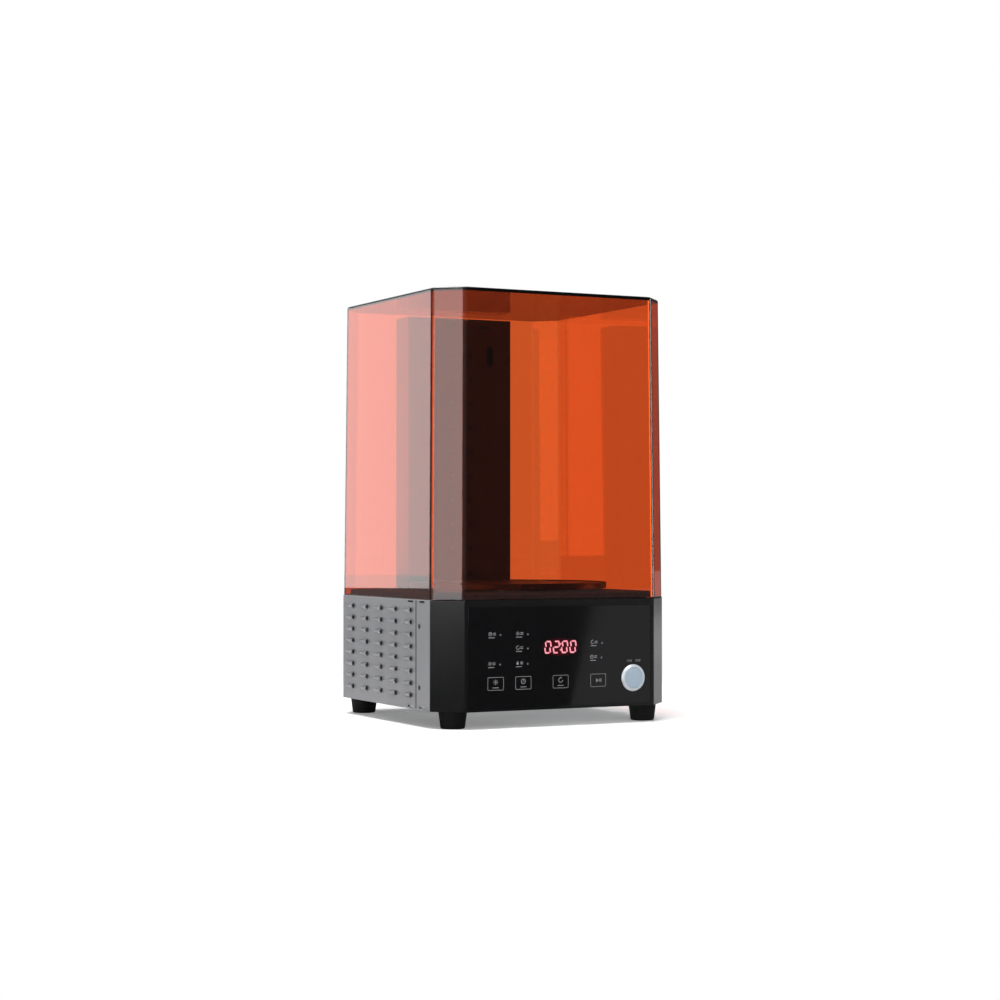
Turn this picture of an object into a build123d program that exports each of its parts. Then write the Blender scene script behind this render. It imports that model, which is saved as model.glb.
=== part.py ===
from build123d import *
from math import cos, radians, sin, sqrt
import os

# Desktop light curing unit: an amber lift-off hood on a square base with louvred covers.
# Millimetres. X to the right, -Y towards the user, +Z up, origin on the table under the centre of the base.

# ---------------------------------------------------------------- overall sizes
base_side = 233.0
base_height = 96.0
foot_height = 15.0
overhang = 1.35             # base beyond the hood, on each side
hood_height = 269.0
corner_leg = 21.4           # leg of the cut corner, on the hood's outside

# ---------------------------------------------------------------- clearances
seam_gap = 0.4              # visible seam between two casing pieces
part_gap = 0.2              # between pieces that lie side by side
slip_gap = 0.1              # round a piece that is pushed in or slides
thread_gap = 0.05           # round a screw in its tapped hole
hole_gap = 0.25             # round a screw in its clearance hole

# ---------------------------------------------------------------- casing
sheet = 1.0
pan_sheet = 1.2
pan_flange = 5.0
fascia_wall = 3.0
fascia_lip = 1.6
fold_radius = 1.2           # rounded fold along the top of the casing
lip_width = 7.5             # top flange that the hood stands on
strip_width = 27.8          # plain side strip in front of the louvres
strip_arm_wall = 2.5
strip_screw_inset = 21.3    # strip screws, back from the strip's front edge
strip_screw_ends = (19.4, 23.5)     # strip screws, from the casing's bottom and top
tab_width = 12.0
tab_margin = 12.0           # tabs and arms stop short of the casing's top and bottom
notch_length = 11.0
notch_height = 1.6
notch_centre = 11.8         # notches, to each side of the seam
notch_edge = 2.2            # notch's middle from the casing's top or bottom
vent_count = 7
vent_pitch = 9.6
vent_width = 3.2
vent_length = 36.0

# ---------------------------------------------------------------- louvres
louvre_pitch_y = 31.7
louvre_pitch_z = 10.6
louvre_length = 17.0
louvre_d = 4.6              # across the mouth
louvre_wall = 0.75
louvre_crown = 2.0          # straight part behind the mouth
louvre_shoulder = (0.6, 0.74)       # where the taper steepens: share of its length, and of the mouth's radius
louvre_tip = 0.25           # radius at the tail, as a share of the mouth's
louvre_slit = 0.2           # cut line in front of the mouth
louvre_start = 9.5          # mouths of the front column, behind the seam
louvre_end = 5.0            # least distance from the last column to the cut corner
louvre_low = 12.0           # lowest row, above the casing's bottom
louvre_high = 9.0           # least distance from the highest row to the casing's top

# ---------------------------------------------------------------- deck and hood
hood_wall = 3.0
hood_lid = 3.0
lid_bevel = 0.6
plinth_gutter = 3.5         # between the hood's inside and the raised plinth
plinth_rise = 5.0
plinth_bevel = 1.0
deck_wall = 2.5
deck_flange = 2.0
deck_thread = 2.0           # depth of the blind holes under the deck
pillar_d = 9.0
pillar_inset = (32.5, 44.5)         # pillars from the base's sides and from its front and back

# ---------------------------------------------------------------- feet
foot_inset = 21.5           # feet from the base's sides
foot_top_d = 25.0
foot_bottom_d = 21.0
foot_round = 1.5
foot_bore_d = 10.0
foot_bore_depth = 5.0
foot_screw_over = 3.0       # screw's end above the bottom pan

# ---------------------------------------------------------------- touch panel
frame_side = 3.5
frame_top = 6.2
frame_bottom = 2.3
glass = 2.0
glass_proud = 0.3
glass_bevel = 0.3
window_sides = (15.3, 43.3)         # window's left and right, from the ends of the flat front
window_ends = (10.0, 19.0)          # window's bottom and top, from the casing's bottom and top
board = 1.6
board_margin = 5.0          # touch board beyond the window, on each side
board_screw_grip = 4.0      # how far a board's screws reach into its bosses or standoffs
display_drop = 23.0         # display's middle below the window's top
display_size = (42.0, 19.0)
display_depth = 8.0
display_corner = 0.5
pad_d = 8.0
panel_columns = (0.112, 0.318, 0.602, 0.892)    # columns of keys, as shares of the window's width
key_rise = 13.8             # keys above the window's bottom
lamp_d = 3.0
lamp_shift = 4.2            # lamps to the right of their column's key
lamp_drops = ((11.3, 36.8), (11.3, 23.6, 36.8), (), (20.4, 33.3))   # each column's, below the window's top

# ---------------------------------------------------------------- power button
button_inset = 21.9         # button from the end of the flat front
button_rise = 25.0          # button above the casing's bottom
bezel_d = 23.6
bezel_proud = 2.2
bezel_bevel = 1.6
barrel_d = 21.0
barrel_length = 18.0
cap_d = 18.6
cap_height = 4.5
cap_bevel = 0.4
stem_d = 6.0
button_travel = 2.0
stop_gap = 0.3              # left behind the cap when it is pressed right in
bezel_nut_flats = 26.0
bezel_nut_height = 3.5
switch_length = 20.0
switch_flat = 0.84          # width across the switch block's flats, as a share of its diameter
blade_terminal = (2.8, 6.0, 0.8)
terminal_x = 4.2
terminal_z = 5.25

# ---------------------------------------------------------------- LED tower
tower_width = 106.2
tower_depth = 28.0
tower_rear_gap = 2.0        # between the tower and the hood's rear pane
tower_head_gap = 4.0        # between the tower and the hood's lid
tower_sheet = 1.2
tower_flange = 12.0
tower_tab = 10.0            # side of the tabs that hold the back cover
tower_tab_inset = 4.5
tower_tab_low = 24.0        # lowest tab from the deck
tower_tab_high = 14.0       # highest tab from the tower's top
tower_cover_corner = 2.0
slot_x = 9.1
slot_head = 34.5            # highest slots below the tower's top
slot_floor = 13.0           # least height of the lowest slots above the deck
slot_pitch = 23.2
slot_width = 3.2
slot_height = 5.3
hook_x = 30.4
hook_head = 35.0            # keyholes below the tower's top
hook_width = 6.5
hook_height = 20.0
ledge_x = 24.9
ledge_head = 8.0            # long slots below the tower's top
ledge_width = 13.0
ledge_height = 2.4
led_side = 3.0
led_height = 1.1
led_sight = 0.3             # from the sheet to the face of each LED
led_board_width = 34.0
led_board_margin = 9.0      # board beyond the first and last LED
boss_d = 7.0
boss_x = 13.0
boss_edge = 0.5             # board beyond its screw bosses
boss_floor = 0.4            # left in front of a boss's blind hole
heat_sink_base = 3.0
fin_height = 9.0
fin_count = 6
fin = 1.4
grommet_d = 12.0
grommet_lip = 2.0
grommet_flange = 1.5

# ---------------------------------------------------------------- turntable and drive
turntable_gaps = (7.15, 9.15)       # from the disc to the hood's front pane and to the tower
turntable_rise = 8.0        # disc's rim above the deck
turntable_lip = 0.8
disc = 2.4
rim_depth = 4.6
rim = 2.5
rib = 1.8
rib_count = 8
hub_d = 30.0
bush_d = 12.0
bush_rise = 0.6             # bush above the disc's underside
pivot_d = 8.0
pivot_flange_d = 20.0
pivot_flange = 1.2
pivot_bevel = 0.5
pivot_end = 0.4             # pin beyond its nut
washer = 0.8
push_nut_d = 15.0
push_nut = 1.2
magnet_d = 15.0
magnet_height = 3.0
magnet_circle_d = 60.0
magnet_count = 4
magnet_wall = 2.0
rotor_d = 84.0
rotor_height = 6.0
rotor_air = 3.0             # between the rotor and the deck
rotor_hub_d = 16.0
rotor_hub_drop = 6.0
rotor_bevel = 0.8
shaft_d = 5.0
shaft_bevel = 0.4
motor_side = 42.3
motor_corner = 4.0
motor_height = 34.0
motor_boss_d = 22.0
motor_boss = 2.0
motor_pitch = 31.0
motor_thread = 5.0
bracket_sheet = 2.0
bracket_span = 112.0
bracket_width = 50.0
bracket_foot = 13.0
bracket_drop = 19.5         # bracket's plate below the deck's underside
bracket_screw_pitch = 32.0

# ---------------------------------------------------------------- power and cooling
inlet_inset = 38.3          # inlet from the end of the flat back
inlet_rise = 33.0           # inlet above the casing's bottom
inlet_body = (27.0, 19.6)
inlet_flange = (50.0, 22.5)
inlet_flange_height = 2.4
inlet_recess = (24.2, 16.6)
inlet_recess_depth = 16.5
inlet_floor = 3.5
inlet_corner = 4.5
inlet_screw_pitch = 40.0
inlet_pin = (2.0, 4.0)
inlet_pin_reach = 12.0
inlet_pin_tail = 8.0
inlet_pin_spread = 7.0
inlet_pin_lift = 2.0
fan_inset = 44.3            # fan from the end of the flat back
fan_rise = 47.0             # fan above the casing's bottom
fan_side = 60.0
fan_depth = 15.0
fan_bore_d = 57.0
fan_hub_d = 26.0
fan_hub_round = 1.5
fan_hub_gap = 0.5           # between the spider and the hub
fan_screw_pitch = 50.0
fan_corner = 4.0
fan_plate = 2.5             # rear spider that carries the rotor
fan_spoke = 4.0
fan_spoke_count = 4
fan_axle_d = 3.0
fan_tip_gap = 1.0
blade_count = 7
blade = 1.2
blade_clear = (1.5, 1.0)    # blades from the spider and from the fan's outer face
blade_root_twist = 38.0
blade_tip_twist = 52.0
grille_ring = 3.2
grille_land = 2.2
grille_rings = 4
grille_inner_d = 14.0
grille_spoke = 4.0
grille_spoke_count = 4
supply_inset = (12.5, 56.5)         # supply from the base's left side and from its back
supply_size = (72.0, 66.0, 34.0)
supply_wall = 1.2
supply_slot = (2.4, 40.0)
supply_slot_count = 6
supply_fold = 1.5
supply_thread = 5.0
supply_screw_share = (0.15, 0.12)
control_inset = (14.5, 54.5)        # control board from the base's right side and from its front
control_size = (72.0, 100.0)
standoff_d = 6.0
standoff_height = 9.0
standoff_inset = 5.0
capacitor = (10.0, 16.0)
capacitor_row = (18.0, 84.0, 14.0)          # first one's place on the board, and pitch
capacitor_count = 3
chip = (8.0, 10.0, 2.0)
chip_row = (14.0, 40.0, 13.0)
chip_count = 4
relay = (18.0, 14.0, 15.0)
relay_place = (12.0, 58.0)
plug_socket = (9.0, 7.0, 8.0)
plug_row = (14.0, 8.0, 12.0)
plug_count = 4
plug_wall = 1.0
plug_floor = 2.0
component_bevel = 0.6

# ---------------------------------------------------------------- screws
m3 = 3.0
m3_head_d = 5.6
m3_head = 1.8
m4 = 4.0
m4_head_d = 7.6
m4_head = 2.4
recess = 0.9                # cross recess in a head
recess_arm = 0.8            # width of its arms
head_round = 0.4            # rounding of a pan head, as a share of its height
screw_over = 2.0            # screw's end beyond the sheet it is threaded into
pillar_grip = 8.0
supply_grip = 4.0

# ---------------------------------------------------------------- worked-out places
half = base_side / 2
hood_side = base_side - 2 * overhang
hood_inside = hood_side / 2 - hood_wall     # inner faces of the hood's panes from the middle
floor_z = foot_height
rim_z = foot_height + base_height
hood_top_z = rim_z + hood_height
front_y = -half
rear_y = half
leg_loss = 2 - sqrt(2)                      # what a cut corner's leg loses for each mm inwards
corner_leg_base = corner_leg + overhang * leg_loss
flank = half - corner_leg_base              # a flat side runs from -flank to +flank
seam_y = -flank + strip_width
joggle_y = seam_y - 1.5 * seam_gap - sheet  # where the strip's tab steps in behind the cover
plinth_inset = hood_wall + plinth_gutter
deck_top = rim_z + plinth_rise
deck_under = deck_top - deck_wall
deck_seat = rim_z - fascia_lip - part_gap  # top of the deck's flange, under the casing's lips
pan_top = floor_z + pan_sheet
pillar_x, pillar_y = half - pillar_inset[0], half - pillar_inset[1]
foot_place = half - foot_inset
strip_screw_z = (floor_z + strip_screw_ends[0], rim_z - strip_screw_ends[1])
louvre_first_y = seam_y + louvre_start
louvre_first_z = floor_z + louvre_low
louvre_last_y = flank - louvre_end - louvre_length
louvre_columns = int((louvre_last_y - louvre_first_y) / louvre_pitch_y) + 1
louvre_rows = int((rim_z - louvre_high - louvre_first_z) / louvre_pitch_z) + 1
window_left, window_right = -flank + window_sides[0], flank - window_sides[1]
window_low, window_high = floor_z + window_ends[0], rim_z - window_ends[1]
key_x = [window_left + share * (window_right - window_left) for share in panel_columns]
key_z = window_low + key_rise
display_centre = (key_x[-2], window_high - display_drop)
lamp_places = [(x + lamp_shift, window_high - drop) for x, drops in zip(key_x, lamp_drops) for drop in drops]
button_x = flank - button_inset
button_z = floor_z + button_rise
glass_back_y = front_y - glass_proud + glass
touch_board_y = glass_back_y + display_depth
tower_rear_y = hood_inside - tower_rear_gap
tower_front_y = tower_rear_y - tower_depth
tower_top = hood_top_z - hood_lid - tower_head_gap
slot_top_z = tower_top - slot_head
slot_count = int((slot_top_z - deck_top - slot_floor) / slot_pitch) + 1
hook_z = tower_top - hook_head
ledge_z = tower_top - ledge_head
turntable_front_y = turntable_gaps[0] - hood_inside
turntable_d = tower_front_y - turntable_gaps[1] - turntable_front_y
turntable_y = turntable_front_y + turntable_d / 2
turntable_top = deck_top + turntable_rise
inlet_x = inlet_inset - flank
inlet_z = floor_z + inlet_rise
fan_x = flank - fan_inset
fan_z = floor_z + fan_rise
supply_place = (supply_inset[0] - half, half - supply_inset[1] - supply_size[1])
control_place = (half - control_inset[0] - control_size[0], control_inset[1] - half)
turntable_hub_z = deck_top + pivot_flange + washer + slip_gap
disc_under = turntable_top - turntable_lip - disc
pivot_top = disc_under + bush_rise
rotor_top = deck_under - rotor_air
bracket_top = deck_under - bracket_drop + bracket_sheet


# ---------------------------------------------------------------- helpers
def corner_points(inset):
    """Eight corners of the hood's plan, moved inwards by inset."""
    side = hood_side / 2 - inset
    flat = side - (corner_leg - inset * leg_loss)
    return [
        (-flat, -side), (flat, -side), (side, -flat), (side, flat),
        (flat, side), (-flat, side), (-side, flat), (-side, -flat),
    ]


def octagon(inset):
    return Polygon(*corner_points(inset), align=None)


def slab(inset, low, high):
    return Pos(0, 0, low) * extrude(octagon(inset), high - low)


def box(x, y, z):
    """Box from its lowest and highest coordinates on each axis."""
    size = (x[1] - x[0], y[1] - y[0], z[1] - z[0])
    return Pos(x[0], y[0], z[0]) * Box(*size, align=(Align.MIN, Align.MIN, Align.MIN))


def rod(d, low, high, place=(0, 0)):
    """Upright cylinder."""
    upright = Cylinder(d / 2, high - low, align=(Align.CENTER, Align.CENTER, Align.MIN))
    return Pos(place[0], place[1], low) * upright


def facing(x, y, z):
    """Place whose local Z points along +Y."""
    return Pos(x, y, z) * Rot(-90, 0, 0)


def bar(d, front, back, x, z):
    """Cylinder along Y."""
    return facing(x, front, z) * rod(d, 0, back - front)


def mirror_x(part):
    return mirror(part, about=Plane.YZ)


def cross_recess(head_d, top):
    """Cutter for the driver's recess, a quarter of the head's diameter each way."""
    long, short = (-head_d / 4, head_d / 4), (-recess_arm / 2, recess_arm / 2)
    return box(long, short, (top - recess, top)) + box(short, long, (top - recess, top))


def pan_head(d, head_d, head, length):
    """Screw along -Z with its head's seat at the origin and a cross recess."""
    dome = rod(head_d, 0, head)
    dome = fillet(dome.edges().group_by(Axis.Z)[-1], head * head_round)
    return dome - cross_recess(head_d, head) + rod(d, -length, 0)


def flat_head(d, head_d, length):
    """Countersunk screw along -Z with the top of its head at the origin."""
    depth = (head_d - d) / 2
    cone = Pos(0, 0, -depth) * Cone(
        d / 2, head_d / 2, depth, align=(Align.CENTER, Align.CENTER, Align.MIN)
    )
    return cone + rod(d, -length, -depth) - cross_recess(head_d, 0)


def countersink(d, head_d, depth):
    """Cutter for a flat-headed screw, with the head's top at the origin."""
    slope = (head_d - d) / 2
    cone = Pos(0, 0, -slope) * Cone(
        d / 2 + hole_gap, head_d / 2 + hole_gap, slope, align=(Align.CENTER, Align.CENTER, Align.MIN)
    )
    return cone + rod(d + 2 * hole_gap, -depth, -slope)


def corners(x, y):
    return [(sx * x, sy * y) for sy in (-1, 1) for sx in (-1, 1)]


def group(parts):
    """Separate solids kept together in one node."""
    return Compound([solid for part in parts for solid in part.solids()])


# ---------------------------------------------------------------- hood
def hood_pane(index):
    """One wall of the hood, mitred to its two neighbours."""
    outer, inner = corner_points(0), corner_points(hood_wall)
    after = (index + 1) % len(outer)
    plan = Polygon(outer[index], outer[after], inner[after], inner[index], align=None)
    return Pos(0, 0, rim_z) * extrude(plan, hood_height - hood_lid)


def hood_top_plate():
    lid = slab(0, hood_top_z - hood_lid, hood_top_z)
    return chamfer(lid.edges().group_by(Axis.Z)[-1], lid_bevel)


# ---------------------------------------------------------------- base casing
def casing(wall, top):
    """Wall and top lip all round the base, before it is parted at the seams."""
    outside = slab(-overhang, floor_z, rim_z)
    outside = fillet(outside.edges().group_by(Axis.Z)[-1], fold_radius)
    inside = slab(wall - overhang, floor_z, rim_z - top)
    return outside - inside - slab(lip_width - overhang, rim_z - top, rim_z)


def inner_slab(gap, low, high):
    """Slab that fills the casing's inside: the moulded front is thicker than the sheet behind it."""
    front = box((-base_side, base_side), (-base_side, -flank), (low, high))
    behind = slab(sheet + gap - overhang, low, high) - front
    return behind + (slab(fascia_wall + gap - overhang, low, high) & front)


def glass_span(gap):
    """Left, right, bottom and top of the touch glass, or of its recess with a gap."""
    side = flank - frame_side + gap
    return (-side, side), (floor_z + frame_bottom - gap, rim_z - frame_top + gap)


def strip_arm():
    """Arm of the fascia behind the left side strip, which is screwed to it."""
    face = -half + sheet + part_gap
    arm = box(
        (face, face + strip_arm_wall),
        (-flank - fascia_wall, joggle_y - part_gap),
        (floor_z + tab_margin, rim_z - tab_margin),
    )
    arm &= slab(sheet + part_gap - overhang, floor_z, rim_z)
    for z in strip_screw_z:
        place = Pos(face, -flank + strip_screw_inset, z) * Rot(0, -90, 0)
        arm -= place * rod(m3 + 2 * thread_gap, -strip_arm_wall, 0)
    return arm


def front_fascia():
    shell = casing(fascia_wall, fascia_lip)
    shell &= box((-base_side, base_side), (-base_side, -flank - seam_gap / 2), (0, rim_z))
    x, z = glass_span(part_gap)
    shell -= box(x, (-base_side, glass_back_y), z)
    through = (front_y - 1, front_y + 2 * fascia_wall)
    shell -= box((window_left, window_right), through, (window_low, window_high))
    shell -= bar(barrel_d + 2 * hole_gap, *through, button_x, button_z)
    for x, z in touch_board_corners():
        shell += bar(boss_d, front_y + fascia_wall - slip_gap, touch_board_y, x, z)
        shell -= bar(m3 + 2 * thread_gap, front_y + fascia_wall, touch_board_y, x, z)
    return shell + strip_arm() + mirror_x(strip_arm())


def touch_glass():
    x, z = glass_span(0)
    pane = box(x, (front_y - glass_proud, glass_back_y), z)
    pane = chamfer(pane.edges().filter_by(Plane.XZ).group_by(Axis.Y)[0], glass_bevel)
    return pane - bar(barrel_d + 2 * hole_gap, front_y - 1, glass_back_y, button_x, button_z)


def notch(seam_side, z):
    """Slot through the left casing wall, beside the seam."""
    length = notch_length / 2 - notch_height / 2
    y = seam_y + seam_side * notch_centre
    span = (z - notch_height / 2, z + notch_height / 2)
    slot = box((-half - 1, -half + 2 * sheet), (y - length, y + length), span)
    for end in (-length, length):
        slot += Pos(-half - 1, y + end, z) * Rot(0, 90, 0) * rod(notch_height, 0, 1 + 2 * sheet)
    return slot


def side_strip():
    """Left side strip, with a tab that lies behind the louvred cover."""
    strip = casing(sheet, sheet)
    strip &= box((-base_side, 0), (-flank + seam_gap / 2, seam_y - seam_gap / 2), (0, rim_z))
    tab_x = -half + sheet + part_gap
    strip += box(
        (tab_x, tab_x + sheet), (joggle_y, seam_y + tab_width),
        (floor_z + tab_margin, rim_z - tab_margin),
    )
    strip += box(
        (-half + sheet / 2, tab_x + sheet), (joggle_y, seam_y - seam_gap / 2),
        (floor_z + tab_margin, rim_z - tab_margin),
    )
    for z in strip_screw_z:
        place = Pos(-half, -flank + strip_screw_inset, z) * Rot(0, -90, 0)
        strip -= place * countersink(m3, m3_head_d - 1, sheet * 2)
    for z in (floor_z + notch_edge, rim_z - notch_edge):
        strip -= notch(-1, z)
    return strip


def scoop(d, length, arc):
    """Cowl with a round mouth at the origin: straight behind its mouth, then two tapers that round it off."""
    r, taper = d / 2, length - louvre_crown
    along, narrowed = louvre_shoulder
    outline = [
        (0, 0), (0, r), (louvre_crown, r), (louvre_crown + along * taper, narrowed * r),
        (length, louvre_tip * r), (length, 0),
    ]
    return revolve(make_face(Polyline(*outline, close=True)), Axis.X, arc)


def louvre_outside(side):
    """Outer form of one louvre: the half of the cowl that stands out of the cover's face."""
    place = Plane(origin=(side * half, 0, 0), x_dir=(0, 1, 0), z_dir=(side, 0, 0))
    return place * scoop(louvre_d, louvre_length, 180)


def louvre_inside(side):
    """Hollow of one louvre, through the sheet and open at the mouth."""
    place = Plane(origin=(side * half, -louvre_slit, 0), x_dir=(0, 1, 0), z_dir=(side, 0, 0))
    return place * scoop(louvre_d - 2 * louvre_wall, louvre_length + louvre_slit - louvre_wall, 360)


def louvred(cover, side):
    """Rows of louvres on a cover: side is -1 for the left one and 1 for the right one."""
    places = [
        Pos(0, louvre_first_y + i * louvre_pitch_y, louvre_first_z + k * louvre_pitch_z)
        for i in range(louvre_columns) for k in range(louvre_rows)
    ]
    cover += [place * louvre_outside(side) for place in places]
    return cover - [place * louvre_inside(side) for place in places]


def side_cover():
    """Left cover before it is louvred: flat side, folded rear corner and a tab behind the rear panel."""
    cover = casing(sheet, sheet)
    cover &= box((-base_side, -flank - seam_gap / 2), (seam_y + seam_gap / 2, base_side), (0, rim_z))
    tab_y = rear_y - sheet - part_gap
    cover += box(
        (-flank - sheet, -flank + tab_width), (tab_y - sheet, tab_y),
        (floor_z + tab_margin, rim_z - tab_margin),
    )
    for x, z in tab_screw_places()[:2]:
        cover -= bar(m3 + 2 * thread_gap, tab_y - 2 * sheet, tab_y + sheet, x, z)
    for z in (floor_z + notch_edge, rim_z - notch_edge):
        cover -= notch(1, z)
    return cover


def tab_screw_places():
    """Left pair, then right pair, of the screws through the rear panel's ends."""
    x = flank - tab_width / 2
    return [(side * x, z) for side in (-1, 1) for z in strip_screw_z]


def grille():
    """Cutter: rings of slots, parted by spokes, in front of the fan."""
    slots = None
    for i in range(grille_rings):
        inner = grille_inner_d / 2 + i * (grille_ring + grille_land)
        ring = rod(2 * (inner + grille_ring), -2 * sheet, 2 * sheet) - rod(2 * inner, -2 * sheet, 2 * sheet)
        slots = ring if slots is None else slots + ring
    reach = fan_side / 2
    for i in range(grille_spoke_count):
        spoke = box((0, reach), (-grille_spoke / 2, grille_spoke / 2), (-2 * sheet, 2 * sheet))
        slots -= Rot(0, 0, 45 + i * 360 / grille_spoke_count) * spoke
    return facing(fan_x, rear_y, fan_z) * slots


def rear_panel():
    panel = casing(sheet, sheet)
    panel &= box((-flank + seam_gap / 2, flank - seam_gap / 2), (0, base_side), (0, rim_z))
    panel -= grille()
    for dx, dz in corners(fan_screw_pitch / 2, fan_screw_pitch / 2):
        panel -= bar(m3 + 2 * hole_gap, rear_y - 2 * sheet, rear_y + 1, fan_x + dx, fan_z + dz)
    for x, z in tab_screw_places():
        panel -= bar(m3 + 2 * hole_gap, rear_y - 2 * sheet, rear_y + 1, x, z)
    panel -= inlet_block(inlet_body, part_gap, rear_y - 2 * sheet, rear_y + 1)
    for side in (-1, 1):
        x = inlet_x + side * inlet_screw_pitch / 2
        panel -= bar(m3 + 2 * thread_gap, rear_y - 2 * sheet, rear_y + 1, x, inlet_z)
    return panel


def bottom_pan():
    pan = inner_slab(part_gap, floor_z, floor_z + pan_flange)
    pan -= inner_slab(part_gap + pan_sheet, pan_top, floor_z + pan_flange)
    for place in corners(foot_place, foot_place):
        pan -= rod(m4 + 2 * thread_gap, 0, pan_top, place)
    for place in corners(pillar_x, pillar_y) + supply_screw_places() + standoff_places():
        pan -= rod(m3 + 2 * hole_gap, 0, pan_top, place)
    vent_y = (turntable_y - vent_length / 2, turntable_y + vent_length / 2)
    for i in range(vent_count):
        x = (i - (vent_count - 1) / 2) * vent_pitch
        pan -= box((x - vent_width / 2, x + vent_width / 2), vent_y, (0, pan_top))
    return pan


def deck_plate():
    """Moulded top of the base: a flange under the casing's lips and a raised plinth."""
    plinth = slab(plinth_inset, deck_seat - deck_flange, deck_top)
    plinth = chamfer(plinth.edges().group_by(Axis.Z)[-1], plinth_bevel)
    deck = plinth + inner_slab(part_gap, deck_seat - deck_flange, deck_seat)
    deck -= slab(plinth_inset + deck_wall, deck_seat - 2 * deck_flange, deck_under)
    deck -= rod(pivot_d + 2 * slip_gap, deck_under, deck_top, (0, turntable_y))
    for place in corners(pillar_x, pillar_y):
        deck -= Pos(*place, deck_top) * countersink(m3, m3_head_d, 2 * deck_wall)
    for place in tower_screw_places():
        deck -= rod(m3 + 2 * hole_gap, deck_under, deck_top, place)
    for x, y in bracket_screw_places():
        deck -= rod(m3 + 2 * thread_gap, deck_under, deck_under + deck_thread, (x, y))
    return deck - rod(grommet_d + 2 * part_gap, deck_under, deck_top, grommet_place())


def deck_pillars():
    pillars = []
    for place in corners(pillar_x, pillar_y):
        pillar = rod(pillar_d, pan_top, deck_under, place)
        pillar -= rod(m3 + 2 * thread_gap, pan_top, deck_under, place)
        pillars.append(pillar)
    return group(pillars)


# ---------------------------------------------------------------- feet
def foot(x, y):
    """Tapered rubber foot with a counterbore for its screw."""
    body = Pos(x, y, 0) * Cone(
        foot_bottom_d / 2, foot_top_d / 2, foot_height, align=(Align.CENTER, Align.CENTER, Align.MIN)
    )
    body = fillet(body.edges().group_by(Axis.Z)[0], foot_round)
    body -= rod(foot_bore_d, 0, foot_bore_depth, (x, y))
    return body - rod(m4 + 2 * hole_gap, 0, foot_height, (x, y))


def foot_screws():
    reach = foot_height - foot_bore_depth + pan_sheet + foot_screw_over
    screw = Rot(180, 0, 0) * pan_head(m4, m4_head_d, m4_head, reach)
    return group([Pos(x, y, foot_bore_depth) * screw for x, y in corners(foot_place, foot_place)])


# ---------------------------------------------------------------- control panel
def touch_board_corners():
    """Bosses beside the window's corners."""
    return [(x, z) for x in (window_left - board_margin, window_right + board_margin)
            for z in (window_low, window_high)]


def touch_board():
    edge = boss_d / 2
    xs = [x for x, _ in touch_board_corners()]
    zs = [z for _, z in touch_board_corners()]
    x, z = (min(xs) - edge, max(xs) + edge), (min(zs) - edge, max(zs) + edge)
    pcb = box(x, (touch_board_y, touch_board_y + board), z)
    for x, z in touch_board_corners():
        pcb -= bar(m3 + 2 * hole_gap, touch_board_y, touch_board_y + board, x, z)
    return pcb


def display_module():
    x, z = display_centre
    width, height = display_size
    across = (x - width / 2, x + width / 2)
    body = box(across, (glass_back_y, touch_board_y), (z - height / 2, z + height / 2))
    return chamfer(body.edges().filter_by(Axis.Y), display_corner)


def indicator_lamps():
    return group([bar(lamp_d, glass_back_y, touch_board_y, x, z) for x, z in lamp_places])


def touch_pads():
    """Conductive foam pads between the touch board and the back of the glass."""
    return group([bar(pad_d, glass_back_y, touch_board_y, x, key_z) for x in key_x])


def button_bezel():
    """Bevelled ring and threaded barrel of the power switch."""
    face = front_y - glass_proud - bezel_proud
    head = bar(bezel_d, face, front_y - glass_proud, button_x, button_z)
    head = chamfer(head.edges().filter_by(GeomType.CIRCLE).group_by(Axis.Y)[0], bezel_bevel)
    body = head + bar(barrel_d, front_y - glass_proud, front_y + barrel_length, button_x, button_z)
    well = face + cap_height + button_travel + stop_gap
    body -= bar(cap_d + 2 * slip_gap, face - 1, well, button_x, button_z)
    return body - bar(stem_d + 4 * slip_gap, face, front_y + barrel_length, button_x, button_z)


def button_cap():
    face = front_y - glass_proud - bezel_proud
    cap = bar(cap_d, face, face + cap_height, button_x, button_z)
    cap = chamfer(cap.edges().filter_by(GeomType.CIRCLE).group_by(Axis.Y)[0], cap_bevel)
    stem_end = front_y + barrel_length - button_travel - stop_gap
    return cap + bar(stem_d, face + cap_height, stem_end, button_x, button_z)


def button_nut():
    flats = RegularPolygon(bezel_nut_flats / 2, 6, major_radius=False)
    start = front_y + fascia_wall
    nut = facing(button_x, start, button_z) * extrude(flats, bezel_nut_height)
    return nut - bar(barrel_d + 2 * thread_gap, start, start + bezel_nut_height, button_x, button_z)


def switch_block():
    """Contact block behind the barrel, with four blade terminals."""
    start = front_y + barrel_length
    block = bar(barrel_d, start, start + switch_length, button_x, button_z)
    flat = barrel_d * switch_flat / 2
    block &= box((button_x - flat, button_x + flat), (front_y, 0), (0, rim_z))
    end = start + switch_length
    width, length, thick = blade_terminal
    for dx, dz in corners(terminal_x, terminal_z):
        x, z = button_x + dx, button_z + dz
        block += box((x - width / 2, x + width / 2), (end - 1, end + length), (z - thick / 2, z + thick / 2))
    return block


# ---------------------------------------------------------------- LED tower
def slot_places():
    return [(side * slot_x, slot_top_z - i * slot_pitch) for side in (-1, 1) for i in range(slot_count)]


def tower_screw_places():
    x = tower_width / 2 - tower_sheet - tower_flange / 2
    return [(sx * x, tower_front_y + tower_depth * share) for sx in (-1, 1) for share in (0.3, 0.7)]


def led_seat_y():
    """Face of the LED board, behind the tower's front."""
    return tower_front_y + tower_sheet + led_sight + led_height


def led_board_span():
    low = slot_top_z - (slot_count - 1) * slot_pitch - led_board_margin
    return low, slot_top_z + led_board_margin


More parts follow.
